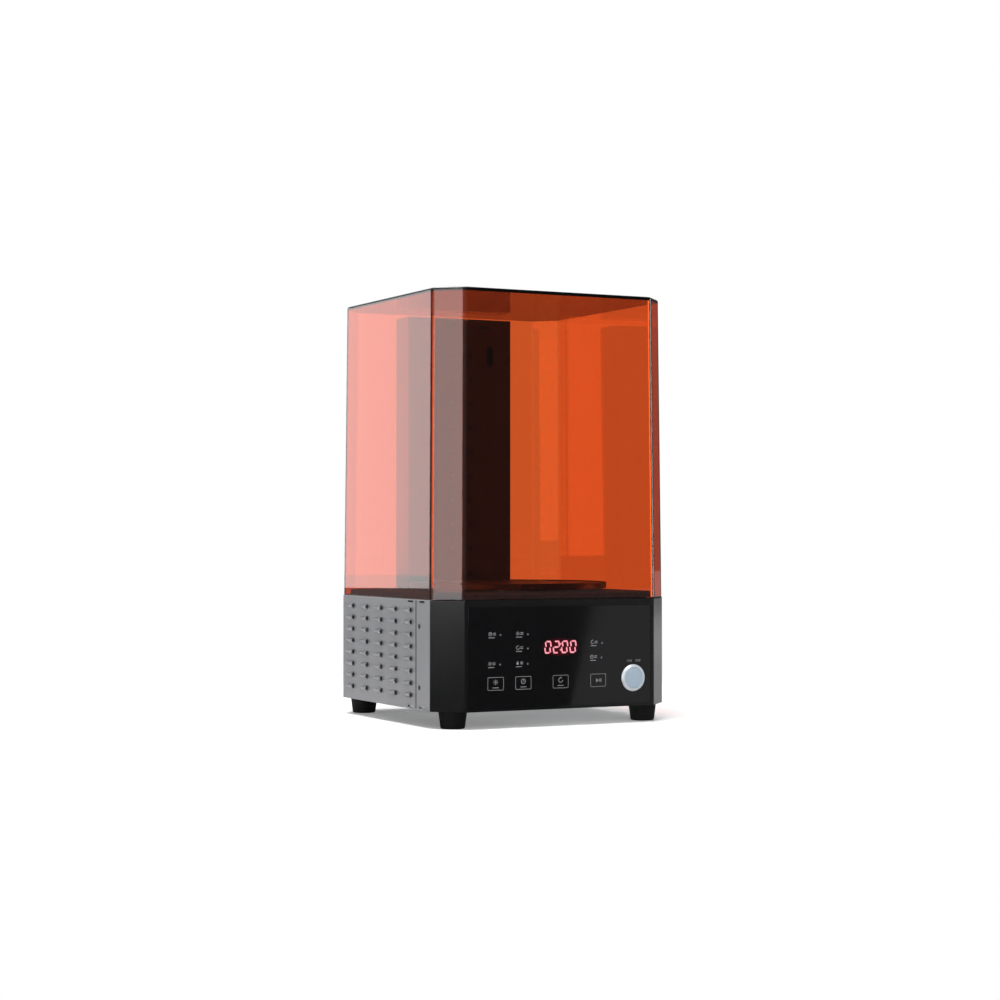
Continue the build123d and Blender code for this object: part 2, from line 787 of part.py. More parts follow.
def led_screw_places():
    low, high = led_board_span()
    edge = boss_d / 2 + boss_edge
    return [(sx * boss_x, z) for sx in (-1, 1) for z in (low + edge, high - edge)]


def tower_channel():
    """Folded channel, open at the back, with feet turned in at the bottom."""
    x = tower_width / 2
    y = (tower_front_y, tower_front_y + tower_depth - tower_sheet - part_gap)
    shell = box((-x, x), y, (deck_top, tower_top))
    shell = fillet(shell.edges().filter_by(Axis.Z).group_by(Axis.Y)[0], fold_radius)
    inner_x = x - tower_sheet
    hollow = box((-inner_x, inner_x), (y[0] + tower_sheet, y[1]), (deck_top, tower_top - tower_sheet))
    foot_x = inner_x - tower_flange
    hollow -= box((-inner_x, -foot_x), y, (deck_top, deck_top + tower_sheet))
    hollow -= box((foot_x, inner_x), y, (deck_top, deck_top + tower_sheet))
    shell -= hollow
    for px, py in tower_screw_places():
        shell -= rod(m3 + 2 * thread_gap, deck_top, deck_top + tower_sheet, (px, py))
    front = (y[0] - 1, y[0] + 2 * tower_sheet)
    for px, pz in slot_places():
        across = (px - slot_width / 2, px + slot_width / 2)
        shell -= box(across, front, (pz - slot_height / 2, pz + slot_height / 2))
    for side in (-1, 1):
        oval = SlotOverall(hook_height, hook_width, rotation=90)
        shell -= facing(side * hook_x, front[0], hook_z) * extrude(oval, front[1] - front[0])
        across = (side * ledge_x - ledge_width / 2, side * ledge_x + ledge_width / 2)
        shell -= box(across, front, (ledge_z - ledge_height / 2, ledge_z + ledge_height / 2))
    for px, pz in led_screw_places():
        shell += bar(boss_d, y[0] + tower_sheet, led_seat_y(), px, pz)
        shell -= bar(m3 + 2 * thread_gap, y[0] + boss_floor, led_seat_y(), px, pz)
    for px, pz in cover_screw_places():
        reach = tower_tab / 2
        tab = box((px - reach, px + reach), (y[1] - tower_sheet, y[1]), (pz - reach, pz + reach))
        shell += tab - bar(m3 + 2 * thread_gap, y[0], y[1], px, pz)
    return shell


def cover_screw_places():
    """Screws through the tower's back cover, into tabs turned in from its sides."""
    x = tower_width / 2 - tower_sheet - tower_tab_inset
    levels = (deck_top + tower_tab_low, (deck_top + tower_top) / 2, tower_top - tower_tab_high)
    return [(sx * x, z) for sx in (-1, 1) for z in levels]


def tower_back_cover():
    x = tower_width / 2
    back = tower_rear_y
    cover = box((-x, x), (back - tower_sheet, back), (deck_top, tower_top))
    cover = chamfer(cover.edges().filter_by(Axis.Y), tower_cover_corner)
    for px, pz in cover_screw_places():
        cover -= bar(m3 + 2 * hole_gap, back - 2 * tower_sheet, back + 1, px, pz)
    return cover


def led_board():
    low, high = led_board_span()
    seat = led_seat_y()
    pcb = box((-led_board_width / 2, led_board_width / 2), (seat, seat + board), (low, high))
    for x, z in led_screw_places():
        pcb -= bar(m3 + 2 * hole_gap, seat, seat + board, x, z)
    return pcb


def led_emitters():
    """One emitter behind each slot of the tower."""
    seat = led_seat_y()
    leds = []
    reach = led_side / 2
    for x, z in slot_places():
        led = box((x - reach, x + reach), (seat - led_height, seat), (z - reach, z + reach))
        leds.append(chamfer(led.edges().group_by(Axis.Y)[0], led_height * 0.4))
    return group(leds)


def heat_sink():
    """Extruded aluminium bar with fins, behind the LED board."""
    low, high = led_board_span()
    start = led_seat_y() + board
    width = led_board_width
    sink = box((-width / 2, width / 2), (start, start + heat_sink_base), (low, high))
    for i in range(fin_count):
        x = -width / 2 + i * (width - fin) / (fin_count - 1)
        sink += box((x, x + fin), (start, start + heat_sink_base + fin_height), (low, high))
    floor = start + heat_sink_base
    for x, z in led_screw_places():
        sink -= bar(m3_head_d + 2 * hole_gap, floor, floor + fin_height, x, z)
        sink -= bar(m3 + 2 * hole_gap, start, floor, x, z)
    return sink


def grommet_place():
    return 0.0, tower_front_y + tower_depth / 2


def cable_grommet():
    """Rubber ring in the deck, where the tower's leads pass through."""
    place = grommet_place()
    low, high = deck_under - grommet_flange, deck_top + grommet_flange
    lip_d = grommet_d + 2 * grommet_lip
    ring = rod(grommet_d, deck_under, deck_top, place)
    ring += rod(lip_d, deck_top, high, place) + rod(lip_d, low, deck_under, place)
    return ring - rod(grommet_d - 2 * grommet_lip, low, high, place)


# ---------------------------------------------------------------- turntable and drive
def magnet_places():
    radius = magnet_circle_d / 2
    turns = [radians(360 / magnet_count * i + 45) for i in range(magnet_count)]
    return [(radius * cos(a), turntable_y + radius * sin(a)) for a in turns]


def turntable_disc():
    """Dished disc with a rim, ribs, a hub and magnet pockets underneath."""
    centre = (0, turntable_y)
    under = disc_under
    rim_low = turntable_top - turntable_lip - rim_depth
    plate = rod(turntable_d, rim_low, turntable_top, centre)
    plate = fillet(plate.edges().group_by(Axis.Z)[-1], turntable_lip)
    plate -= rod(turntable_d - 2 * rim, turntable_top - turntable_lip, turntable_top, centre)
    plate -= rod(turntable_d - 2 * rim, rim_low, under, centre)
    plate += rod(hub_d, turntable_hub_z, under, centre)
    for i in range(rib_count):
        spoke = box((hub_d / 2 - rib, turntable_d / 2 - rim / 2), (-rib / 2, rib / 2), (rim_low, under))
        plate += Pos(*centre, 0) * Rot(0, 0, i * 360 / rib_count) * spoke
    for place in magnet_places():
        plate += rod(magnet_d + 2 * magnet_wall, rim_low, under, place)
        plate -= rod(magnet_d + 2 * slip_gap, rim_low, rim_low + magnet_height, place)
    plate -= rod(bush_d, turntable_hub_z, pivot_top, centre)
    return plate - rod(pivot_d, pivot_top - bush_rise, pivot_top + stop_gap, centre)


def turntable_magnets():
    low = turntable_top - turntable_lip - rim_depth
    return group([rod(magnet_d, low, low + magnet_height, place) for place in magnet_places()])


def turntable_bush():
    """Plain bronze bush that runs on the pivot pin."""
    centre = (0, turntable_y)
    ring = rod(bush_d, turntable_hub_z, pivot_top, centre)
    return ring - rod(pivot_d + 2 * thread_gap, turntable_hub_z, pivot_top, centre)


def pivot_pin():
    centre = (0, turntable_y)
    pin = rod(pivot_d, deck_under - push_nut - pivot_end, pivot_top - slip_gap, centre)
    pin = chamfer(pin.edges().group_by(Axis.Z)[-1], pivot_bevel)
    return pin + rod(pivot_flange_d, deck_top, deck_top + pivot_flange, centre)


def pivot_nut():
    """Push-on nut that holds the pivot pin from below the deck."""
    centre = (0, turntable_y)
    nut = rod(push_nut_d, deck_under - push_nut, deck_under, centre)
    return nut - rod(pivot_d + thread_gap, deck_under - push_nut, deck_under, centre)


def thrust_washer():
    centre = (0, turntable_y)
    low = deck_top + pivot_flange
    ring = rod(pivot_flange_d, low, low + washer, centre)
    return ring - rod(pivot_d + 2 * slip_gap, low, low + washer, centre)


def drive_rotor():
    """Magnet carrier on the motor's shaft."""
    centre = (0, turntable_y)
    low = rotor_top - rotor_height
    carrier = rod(rotor_d, low, rotor_top, centre)
    carrier = chamfer(carrier.edges().filter_by(GeomType.CIRCLE), rotor_bevel)
    carrier += rod(rotor_hub_d, low - rotor_hub_drop, low, centre)
    for place in magnet_places():
        carrier -= rod(magnet_d + 2 * slip_gap, rotor_top - magnet_height, rotor_top, place)
    for i in range(magnet_count):
        turn = radians(360 / magnet_count * i)
        radius = magnet_circle_d / 2
        carrier -= rod(magnet_d, low, rotor_top, (radius * cos(turn), turntable_y + radius * sin(turn)))
    return carrier - rod(shaft_d + thread_gap, low - rotor_hub_drop, rotor_top, centre)


def rotor_magnets():
    return group([rod(magnet_d, rotor_top - magnet_height, rotor_top, place) for place in magnet_places()])


def motor_top():
    return bracket_top - bracket_sheet


def motor_shaft():
    centre = (0, turntable_y)
    shaft = rod(shaft_d, motor_top() - motor_height / 2, rotor_top, centre)
    return chamfer(shaft.edges().group_by(Axis.Z)[-1], shaft_bevel)


def motor():
    centre = (0, turntable_y)
    s = motor_side / 2
    top = motor_top()
    body = box((-s, s), (turntable_y - s, turntable_y + s), (top - motor_height, top))
    body = chamfer(body.edges().filter_by(Axis.Z), motor_corner)
    body += rod(motor_boss_d, top, top + motor_boss, centre)
    body -= rod(shaft_d + 2 * thread_gap, top - motor_height / 2 - slip_gap, top + motor_boss, centre)
    for dx, dy in corners(motor_pitch / 2, motor_pitch / 2):
        body -= rod(m3 + 2 * thread_gap, top - motor_thread, top, (dx, turntable_y + dy))
    return body


def motor_bracket():
    """Folded bracket that hangs the motor under the deck."""
    x, w = bracket_span / 2, bracket_width / 2
    y = (turntable_y - w, turntable_y + w)
    low = motor_top()
    part = box((-x, x), y, (low, low + bracket_sheet))
    for side in (-1, 1):
        wall = sorted((side * x, side * (x - bracket_sheet)))
        part += box(wall, y, (low, deck_under))
        flange = sorted((side * (x - bracket_sheet), side * (x + bracket_foot)))
        part += box(flange, y, (deck_under - bracket_sheet, deck_under))
    part -= rod(motor_boss_d + 2 * part_gap, low, low + bracket_sheet, (0, turntable_y))
    for dx, dy in corners(motor_pitch / 2, motor_pitch / 2):
        part -= rod(m3 + 2 * hole_gap, low, low + bracket_sheet, (dx, turntable_y + dy))
    for place in bracket_screw_places():
        part -= rod(m3 + 2 * hole_gap, deck_under - bracket_sheet, deck_under, place)
    return part


def bracket_screw_places():
    x = (bracket_span + bracket_foot) / 2
    return [(sx * x, turntable_y + sy * bracket_screw_pitch / 2) for sx in (-1, 1) for sy in (-1, 1)]


# ---------------------------------------------------------------- power and cooling
def inlet_block(size, gap, front, back):
    """Block along Y with the two upper corners cut, as a mains inlet has."""
    width, height = size[0] + 2 * gap, size[1] + 2 * gap
    across = (inlet_x - width / 2, inlet_x + width / 2)
    block = box(across, (front, back), (inlet_z - height / 2, inlet_z + height / 2))
    return chamfer(block.edges().filter_by(Axis.Y).group_by(Axis.Z)[-1], inlet_corner)


def inlet_bottom_y():
    return rear_y + inlet_flange_height - inlet_recess_depth


def inlet_pin_places():
    spread = inlet_pin_spread
    return [
        (inlet_x - spread, inlet_z - inlet_pin_lift), (inlet_x + spread, inlet_z - inlet_pin_lift),
        (inlet_x, inlet_z + inlet_pin_lift),
    ]


def pin_bar(place, gap, front, back):
    x, z = place
    w, h = inlet_pin[0] / 2 + gap, inlet_pin[1] / 2 + gap
    return box((x - w, x + w), (front, back), (z - h, z + h))


def mains_inlet():
    """Appliance inlet with a screw flange on the outside of the rear panel."""
    w, h = inlet_flange[0] / 2, inlet_flange[1] / 2
    outer = rear_y + inlet_flange_height
    body = box((inlet_x - w, inlet_x + w), (rear_y, outer), (inlet_z - h, inlet_z + h))
    body = chamfer(body.edges().filter_by(Axis.Y), h / 2)
    body += inlet_block(inlet_body, 0, inlet_bottom_y() - inlet_floor, rear_y)
    body -= inlet_block(inlet_recess, 0, inlet_bottom_y(), outer)
    for side in (-1, 1):
        x = inlet_x + side * inlet_screw_pitch / 2
        body -= bar(m3 + 2 * hole_gap, rear_y, outer, x, inlet_z)
    for place in inlet_pin_places():
        body -= pin_bar(place, slip_gap / 2, inlet_bottom_y() - inlet_floor, inlet_bottom_y())
    return body


def inlet_pins():
    low = inlet_bottom_y() - inlet_floor - inlet_pin_tail
    high = inlet_bottom_y() + inlet_pin_reach
    return group([pin_bar(place, 0, low, high) for place in inlet_pin_places()])


def fan_rear_y():
    return rear_y - sheet


def fan_place():
    """Fan's own frame: local Z points out of the rear of the unit, zero at the inner face of the fan."""
    return facing(fan_x, fan_rear_y() - fan_depth, fan_z)


def fan_frame():
    s = fan_side / 2
    frame = box((-s, s), (-s, s), (0, fan_depth))
    frame = fillet(frame.edges().filter_by(Axis.Z), fan_corner)
    frame -= rod(fan_bore_d, 0, fan_depth)
    spider = rod(fan_hub_d, 0, fan_plate)
    for i in range(fan_spoke_count):
        spoke = box((0, (fan_bore_d + fan_side) / 4), (-fan_spoke / 2, fan_spoke / 2), (0, fan_plate))
        spider += Rot(0, 0, i * 360 / fan_spoke_count) * spoke
    frame += spider
    frame -= rod(fan_axle_d + 2 * thread_gap, 0, fan_plate)
    for place in corners(fan_screw_pitch / 2, fan_screw_pitch / 2):
        frame -= rod(m3 + 2 * thread_gap, 0, fan_depth, place)
    return fan_place() * frame


def fan_blade():
    """Twisted blade, lofted from its root to its tip."""
    low, high = fan_plate + blade_clear[0], fan_depth - blade_clear[1]
    root, tip = fan_hub_d / 2 - blade / 2, fan_bore_d / 2 - fan_tip_gap
    chord = high - low
    sections = []
    for radius, turn in ((root, blade_root_twist), (tip, blade_tip_twist)):
        plane = Plane(origin=(radius, 0, (low + high) / 2), x_dir=(0, 0, 1), z_dir=(1, 0, 0))
        length = chord / cos(radians(turn)) - sqrt(2) * blade
        sections.append(plane * Rot(0, 0, turn) * Rectangle(length, blade))
    return loft(sections)


def fan_rotor():
    hub = rod(fan_hub_d, fan_plate + fan_hub_gap, fan_depth - fan_hub_gap)
    hub = fillet(hub.edges().group_by(Axis.Z)[-1], fan_hub_round)
    hub += rod(fan_axle_d, slip_gap, fan_plate + fan_hub_gap)
    hub += [Rot(0, 0, i * 360 / blade_count) * fan_blade() for i in range(blade_count)]
    return fan_place() * hub


def supply_screw_places():
    x, y = supply_place
    dx, dy, _ = supply_size
    a, b = supply_screw_share
    return [(x + u * dx, y + v * dy) for u in (a, 1 - a) for v in (b, 1 - b)]


def power_supply():
    """Supply in a folded metal case with slots in its lid."""
    x, y = supply_place
    dx, dy, dz = supply_size
    low = pan_top
    case = box((x, x + dx), (y, y + dy), (low, low + dz))
    case = fillet(case.edges().filter_by(Axis.Y).group_by(Axis.Z)[-1], supply_fold)
    pitch = dx / (supply_slot_count + 1)
    width, length = supply_slot
    along = (y + (dy - length) / 2, y + (dy + length) / 2)
    for i in range(supply_slot_count):
        middle = x + (i + 1) * pitch
        case -= box((middle - width / 2, middle + width / 2), along, (low + dz - supply_wall, low + dz))
    for place in supply_screw_places():
        case -= rod(m3 + 2 * thread_gap, low, low + supply_thread, place)
    return case


def standoff_places():
    x, y = control_place
    dx, dy = control_size
    e = standoff_inset
    return [(a, b) for a in (x + e, x + dx - e) for b in (y + e, y + dy - e)]


def board_standoffs():
    posts = []
    for place in standoff_places():
        post = rod(standoff_d, pan_top, pan_top + standoff_height, place)
        post -= rod(m3 + 2 * thread_gap, pan_top, pan_top + standoff_height, place)
        posts.append(post)
    return group(posts)


def control_board_z():
    return pan_top + standoff_height


def control_board():
    x, y = control_place
    dx, dy = control_size
    z = control_board_z()
    pcb = box((x, x + dx), (y, y + dy), (z, z + board))
    for place in standoff_places():
        pcb -= rod(m3 + 2 * hole_gap, z, z + board, place)
    return pcb


def board_row(row, count):
    """Places of a row of components on the control board."""
    x, y = control_place
    first, back, pitch = row
    return [(x + first + i * pitch, y + back) for i in range(count)]


def board_components():
    """Capacitors, driver chips, a relay and plug sockets on the control board."""
    z = control_board_z() + board
    parts = []
    for place in board_row(capacitor_row, capacitor_count):
        can = rod(capacitor[0], z, z + capacitor[1], place)
        parts.append(chamfer(can.edges().group_by(Axis.Z)[-1], component_bevel))
    for x, y in board_row(chip_row, chip_count):
        parts.append(box((x, x + chip[0]), (y, y + chip[1]), (z, z + chip[2])))
    x, y = control_place[0] + relay_place[0], control_place[1] + relay_place[1]
    parts.append(box((x, x + relay[0]), (y, y + relay[1]), (z, z + relay[2])))
    for x, y in board_row(plug_row, plug_count):
        socket = box((x, x + plug_socket[0]), (y, y + plug_socket[1]), (z, z + plug_socket[2]))
        mouth = box(
            (x + plug_wall, x + plug_socket[0] - plug_wall), (y + plug_wall, y + plug_socket[1] - plug_wall),
            (z + plug_floor, z + plug_socket[2]),
        )
        parts.append(socket - mouth)
    return group(parts)


# ---------------------------------------------------------------- screws that hold the pieces together
def casing_screws():
    """Flat-headed: the strips to the fascia's arms, and the deck to its pillars."""
    short = flat_head(m3, m3_head_d - 1, sheet + part_gap + strip_arm_wall)
    long = flat_head(m3, m3_head_d, deck_wall + pillar_grip)
    screws = [Pos(x, y, deck_top) * long for x, y in corners(pillar_x, pillar_y)]
    for side in (-1, 1):
        for z in strip_screw_z:
            screws.append(Pos(side * half, -flank + strip_screw_inset, z) * Rot(0, side * 90, 0) * short)
    return group(screws)


def rear_screws():
    """Pan-headed: the rear panel to the side covers, the fan and the mains inlet to the rear panel."""
    tab = pan_head(m3, m3_head_d, m3_head, 2 * sheet + part_gap + screw_over)
    fan = pan_head(m3, m3_head_d, m3_head, sheet + fan_depth / 2)
    inlet = pan_head(m3, m3_head_d, m3_head, inlet_flange_height + sheet + screw_over)
    screws = [facing(x, rear_y, z) * tab for x, z in tab_screw_places()]
    for dx, dz in corners(fan_screw_pitch / 2, fan_screw_pitch / 2):
        screws.append(facing(fan_x + dx, rear_y, fan_z + dz) * fan)
    for side in (-1, 1):
        x = inlet_x + side * inlet_screw_pitch / 2
        screws.append(facing(x, rear_y + inlet_flange_height, inlet_z) * inlet)
    return group(screws)


def pan_screws():
    """Pan-headed, up through the bottom pan into the pillars, the supply and the standoffs."""
    screw = Rot(180, 0, 0) * pan_head(m3, m3_head_d, m3_head, pan_sheet + supply_grip)
    places = corners(pillar_x, pillar_y) + supply_screw_places() + standoff_places()
    return group([Pos(x, y, floor_z) * screw for x, y in places])


def board_screws():
    """Pan-headed: the touch board to the fascia's bosses, and the control board to its standoffs."""
    screw = pan_head(m3, m3_head_d, m3_head, board + board_screw_grip)
    screws = [facing(x, touch_board_y + board, z) * screw for x, z in touch_board_corners()]
    screws += [Pos(x, y, control_board_z() + board) * screw for x, y in standoff_places()]
    return group(screws)


def tower_screws():
    """Pan-headed: the tower's feet to the deck, its back cover, and the heat sink to its front."""
    foot_screw = Rot(180, 0, 0) * pan_head(m3, m3_head_d, m3_head, deck_wall + tower_sheet + screw_over)
    cover_screw = pan_head(m3, m3_head_d, m3_head, 2 * tower_sheet + part_gap + screw_over)
    sink_screw = pan_head(m3, m3_head_d, m3_head, heat_sink_base + board + led_sight + led_height)
    sink_y = led_seat_y() + board + heat_sink_base
    screws = [Pos(x, y, deck_under) * foot_screw for x, y in tower_screw_places()]
    screws += [facing(x, tower_rear_y, z) * cover_screw for x, z in cover_screw_places()]
    screws += [facing(x, sink_y, z) * sink_screw for x, z in led_screw_places()]
    return group(screws)


def drive_screws():
    """Pan-headed: the bracket up into the deck, and down into the motor."""
    hang = Rot(180, 0, 0) * pan_head(m3, m3_head_d, m3_head, bracket_sheet + deck_thread - slip_gap)
    mount = pan_head(m3, m3_head_d, m3_head, bracket_sheet + motor_thread - 2 * stop_gap)
    screws = [Pos(x, y, deck_under - bracket_sheet) * hang for x, y in bracket_screw_places()]
    for dx, dy in corners(motor_pitch / 2, motor_pitch / 2):
        screws.append(Pos(dx, turntable_y + dy, bracket_top) * mount)
    return group(screws)


# ---------------------------------------------------------------- all the pieces
def all_pieces():
    return {
        "hood_front_pane": hood_pane(0),
        "hood_right_pane": hood_pane(2),
        "hood_rear_pane": hood_pane(4),
        "hood_left_pane": hood_pane(6),
        "hood_corner_panes": group([hood_pane(i) for i in (1, 3, 5, 7)]),
        "hood_top_plate": hood_top_plate(),
        "front_fascia": front_fascia(),
        "touch_glass": touch_glass(),
        "side_strip_left": side_strip(),
        "side_strip_right": mirror_x(side_strip()),
        "side_cover_left": louvred(side_cover(), -1),
        "side_cover_right": louvred(mirror_x(side_cover()), 1),
        "rear_panel": rear_panel(),
        "bottom_pan": bottom_pan(),
        "deck_plate": deck_plate(),
        "deck_pillars": deck_pillars(),
        "casing_screws": casing_screws(),
        "rear_screws": rear_screws(),
        "pan_screws": pan_screws(),
        "foot_front_left": foot(-foot_place, -foot_place),
        "foot_front_right": foot(foot_place, -foot_place),
        "foot_rear_left": foot(-foot_place, foot_place),
        "foot_rear_right": foot(foot_place, foot_place),
        "foot_screws": foot_screws(),
        "touch_board": touch_board(),
        "board_screws": board_screws(),
        "display_module": display_module(),
        "indicator_lamps": indicator_lamps(),
        "touch_pads": touch_pads(),
        "power_button_bezel": button_bezel(),
        "power_button_cap": button_cap(),
        "power_button_nut": button_nut(),
        "power_switch_block": switch_block(),
        "tower_channel": tower_channel(),
        "tower_back_cover": tower_back_cover(),
        "tower_screws": tower_screws(),
        "led_board": led_board(),
        "led_emitters": led_emitters(),
        "led_heat_sink": heat_sink(),
        "cable_grommet": cable_grommet(),
        "turntable_disc": turntable_disc(),
        "turntable_magnets": turntable_magnets(),
        "turntable_bush": turntable_bush(),
        "pivot_pin": pivot_pin(),
        "pivot_nut": pivot_nut(),
        "thrust_washer": thrust_washer(),
        "drive_rotor": drive_rotor(),
        "rotor_magnets": rotor_magnets(),
        "motor_shaft": motor_shaft(),
        "turntable_motor": motor(),
        "motor_bracket": motor_bracket(),
        "drive_screws": drive_screws(),
        "mains_inlet": mains_inlet(),
        "inlet_pins": inlet_pins(),
        "fan_frame": fan_frame(),
        "fan_rotor": fan_rotor(),
        "power_supply": power_supply(),
        "control_board": control_board(),
        "board_standoffs": board_standoffs(),
        "board_components": board_components(),
    }


os.makedirs("parts", exist_ok=True)
for name, piece in all_pieces().items():
    export_step(piece, f"parts/{name}.step")
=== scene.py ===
from math import cos, pi, radians, sin, tan

import bpy
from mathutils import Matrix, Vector


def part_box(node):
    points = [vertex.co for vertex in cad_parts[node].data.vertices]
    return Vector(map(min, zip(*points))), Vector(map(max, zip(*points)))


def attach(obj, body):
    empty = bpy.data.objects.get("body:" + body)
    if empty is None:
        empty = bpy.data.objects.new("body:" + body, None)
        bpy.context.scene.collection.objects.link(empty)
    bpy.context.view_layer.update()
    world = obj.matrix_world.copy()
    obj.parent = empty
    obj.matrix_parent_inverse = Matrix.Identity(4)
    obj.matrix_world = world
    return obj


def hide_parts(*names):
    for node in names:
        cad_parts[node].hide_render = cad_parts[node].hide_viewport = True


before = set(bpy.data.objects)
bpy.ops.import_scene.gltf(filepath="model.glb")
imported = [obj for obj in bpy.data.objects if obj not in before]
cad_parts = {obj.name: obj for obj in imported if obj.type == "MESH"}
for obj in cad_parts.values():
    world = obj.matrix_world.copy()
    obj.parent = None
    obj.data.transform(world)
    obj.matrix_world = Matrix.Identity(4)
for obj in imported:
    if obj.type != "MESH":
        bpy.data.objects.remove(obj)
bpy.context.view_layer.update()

# Desktop light curing unit: amber lift-off hood, black moulded front, grey louvred covers.
# Metres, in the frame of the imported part: X to the right, -Y towards the user, +Z up.

mm = 0.001

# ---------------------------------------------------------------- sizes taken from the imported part
lid_low, lid_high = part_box("hood_top_plate")
pane_low, pane_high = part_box("hood_front_pane")
lid_thickness = lid_high.z - lid_low.z
hood_half = lid_high.x
corner_leg = hood_half - pane_high.x
glass_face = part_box("touch_glass")[0].y
bend_radius = 6.5 * mm               # outside radius of the hood's bends
bend_turn = radians(45)              # each bend turns the sheet by this much
bend_segments = 6
lid_edge = 1.8 * mm                  # rounding along the lid's outside
rim_edge = 0.25 * mm                 # polished edge of the rim
same_level = 0.1 * mm                # points nearer than this in height lie on one level
hood_top_half = 113.95 * mm          # the moulded hood draws in towards its lid
hood_foot_half = 116.2 * mm

# ---------------------------------------------------------------- black strips that paint the shade in the gaps beside the side covers
casing_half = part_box("side_strip_right")[1].x
gap_shade_width = 1.2 * mm
gap_shade_depth = 0.3 * mm

# ---------------------------------------------------------------- printed and lit marks on the touch glass
ink = 0.06 * mm                      # thickness of a printed mark, a little proud so that it catches light
digit_height = 11.2 * mm
digit_width = 6.3 * mm
digit_stroke = 1.4 * mm
digit_gap = 0.35 * mm                # dark gap between two segments
digit_slant = radians(8)
digit_pitch = 8.3 * mm
segment_point = 0.42                 # cut at a segment's ends, as a share of its stroke
display_time = "0200"
display_middle = Vector((-0.9, 0, 69.0)) * mm
colon_size = 1.3 * mm
colon_rise = 2.6 * mm

key_places = (-64.5, -37.6, -0.8, 36.9)
key_level = 38.8
key_width = 15.6 * mm
key_height = 11.4 * mm
key_corner = 1.0 * mm
key_line = 0.45 * mm

lamp_size = 1.7 * mm
lamp_marks = (
    (-59.9, 80.7, "clock"), (-33.2, 80.7, "sun"), (-33.2, 68.4, "turn"), (-33.4, 55.2, "drop"),
    (-60.2, 55.2, "sun"), (40.9, 71.6, "turn"), (40.3, 58.7, "clock"),
)
mark_size = 3.5 * mm                 # height of a small pictogram
mark_offset = 8.6 * mm               # from a lamp to the middle of its pictogram
key_mark_size = 4.6 * mm
mark_line = 0.5 * mm
rule_height = 0.7 * mm               # short rules beside and below a pictogram

glow_size = Vector((40, 16)) * mm      # lit patch of the glass behind the digits
glow_reach = Vector((21, 9.5)) * mm

switch_label = Vector((73.2, 0, 55.0)) * mm
switch_label_size = 3.1 * mm
switch_word_shift = 4.4 * mm         # each word from the label's middle


# ---------------------------------------------------------------- helpers
def linear(code):
    """Linear colour from an sRGB hex code."""
    parts = [int(code[i:i + 2], 16) / 255 for i in (1, 3, 5)]
    return [*(c / 12.92 if c <= 0.04045 else ((c + 0.055) / 1.055) ** 2.4 for c in parts), 1.0]


def every(size):
    """Scale of a pattern that repeats about every so many millimetres."""
    return 1 / (size * mm)


def add(tree, kind, inputs=None, **settings):
    """Adds a node. An input is given a plain value, or the socket that feeds it."""
    made = tree.nodes.new(kind)
    for name, value in settings.items():
        setattr(made, name, value)
    for name, value in (inputs or {}).items():
        if isinstance(value, bpy.types.NodeSocket):
            tree.links.new(value, made.inputs[name])
        else:
            made.inputs[name].default_value = value
    return made


def new_finish(name):
    """Material with a Principled shader, and the place of each point on the object."""
    material = bpy.data.materials.new(name)
    material.use_nodes = True
    tree = material.node_tree
    shader = tree.nodes["Principled BSDF"]
    return material, tree, shader, add(tree, "ShaderNodeTexCoord").outputs["Object"]


def put_on(material, *names):
    for name in names:
        mesh = bpy.data.objects[name].data
        mesh.materials.clear()
        mesh.materials.append(material)


def pick(obj, kind, test):
    """Edit mode on obj, with only the faces, edges or vertices selected that pass the test."""
    if obj.mode == "EDIT":
        bpy.ops.object.mode_set(mode="OBJECT")
    mesh = obj.data
    for parts in (mesh.vertices, mesh.edges, mesh.polygons):
        parts.foreach_set("select", [False] * len(parts))
    for part in getattr(mesh, kind):
        part.select = test(part)
    order = ("vertices", "edges", "polygons")
    bpy.context.tool_settings.mesh_select_mode = [kind == each for each in order]
    bpy.ops.object.mode_set(mode="EDIT")


def done(obj, name, smooth=True):
    """Leaves edit mode, names the piece and puts its place into its mesh."""
    if obj.mode == "EDIT":
        bpy.ops.object.mode_set(mode="OBJECT")
    obj.name = obj.data.name = name
    bpy.ops.object.select_all(action="DESELECT")
    obj.select_set(True)
    bpy.context.view_layer.objects.active = obj
    bpy.ops.object.transform_apply(location=True, rotation=True, scale=True)
    if smooth:
        bpy.ops.object.shade_smooth_by_angle(angle=radians(30))
    bpy.ops.object.select_all(action="DESELECT")
    return obj


def joined(name, parts):
    """One piece from several."""
    bpy.ops.object.select_all(action="DESELECT")
    for part in parts:
        part.select_set(True)
    bpy.context.view_layer.objects.active = parts[0]
    if len(parts) > 1:
        bpy.ops.object.join()
    return done(bpy.context.view_layer.objects.active, name, smooth=False)


def edge_ends(obj, edge):
    return [obj.data.vertices[i].co for i in edge.vertices]


def through_mark(obj, edge):
    """True for an edge that runs through the thickness of a mark on the glass."""
    a, b = edge_ends(obj, edge)
    return abs(a.y - b.y) > ink / 2


def on_glass(x, z):
    """Point on the face of the touch glass, from places in metres."""
    return Vector((x, glass_face, z))


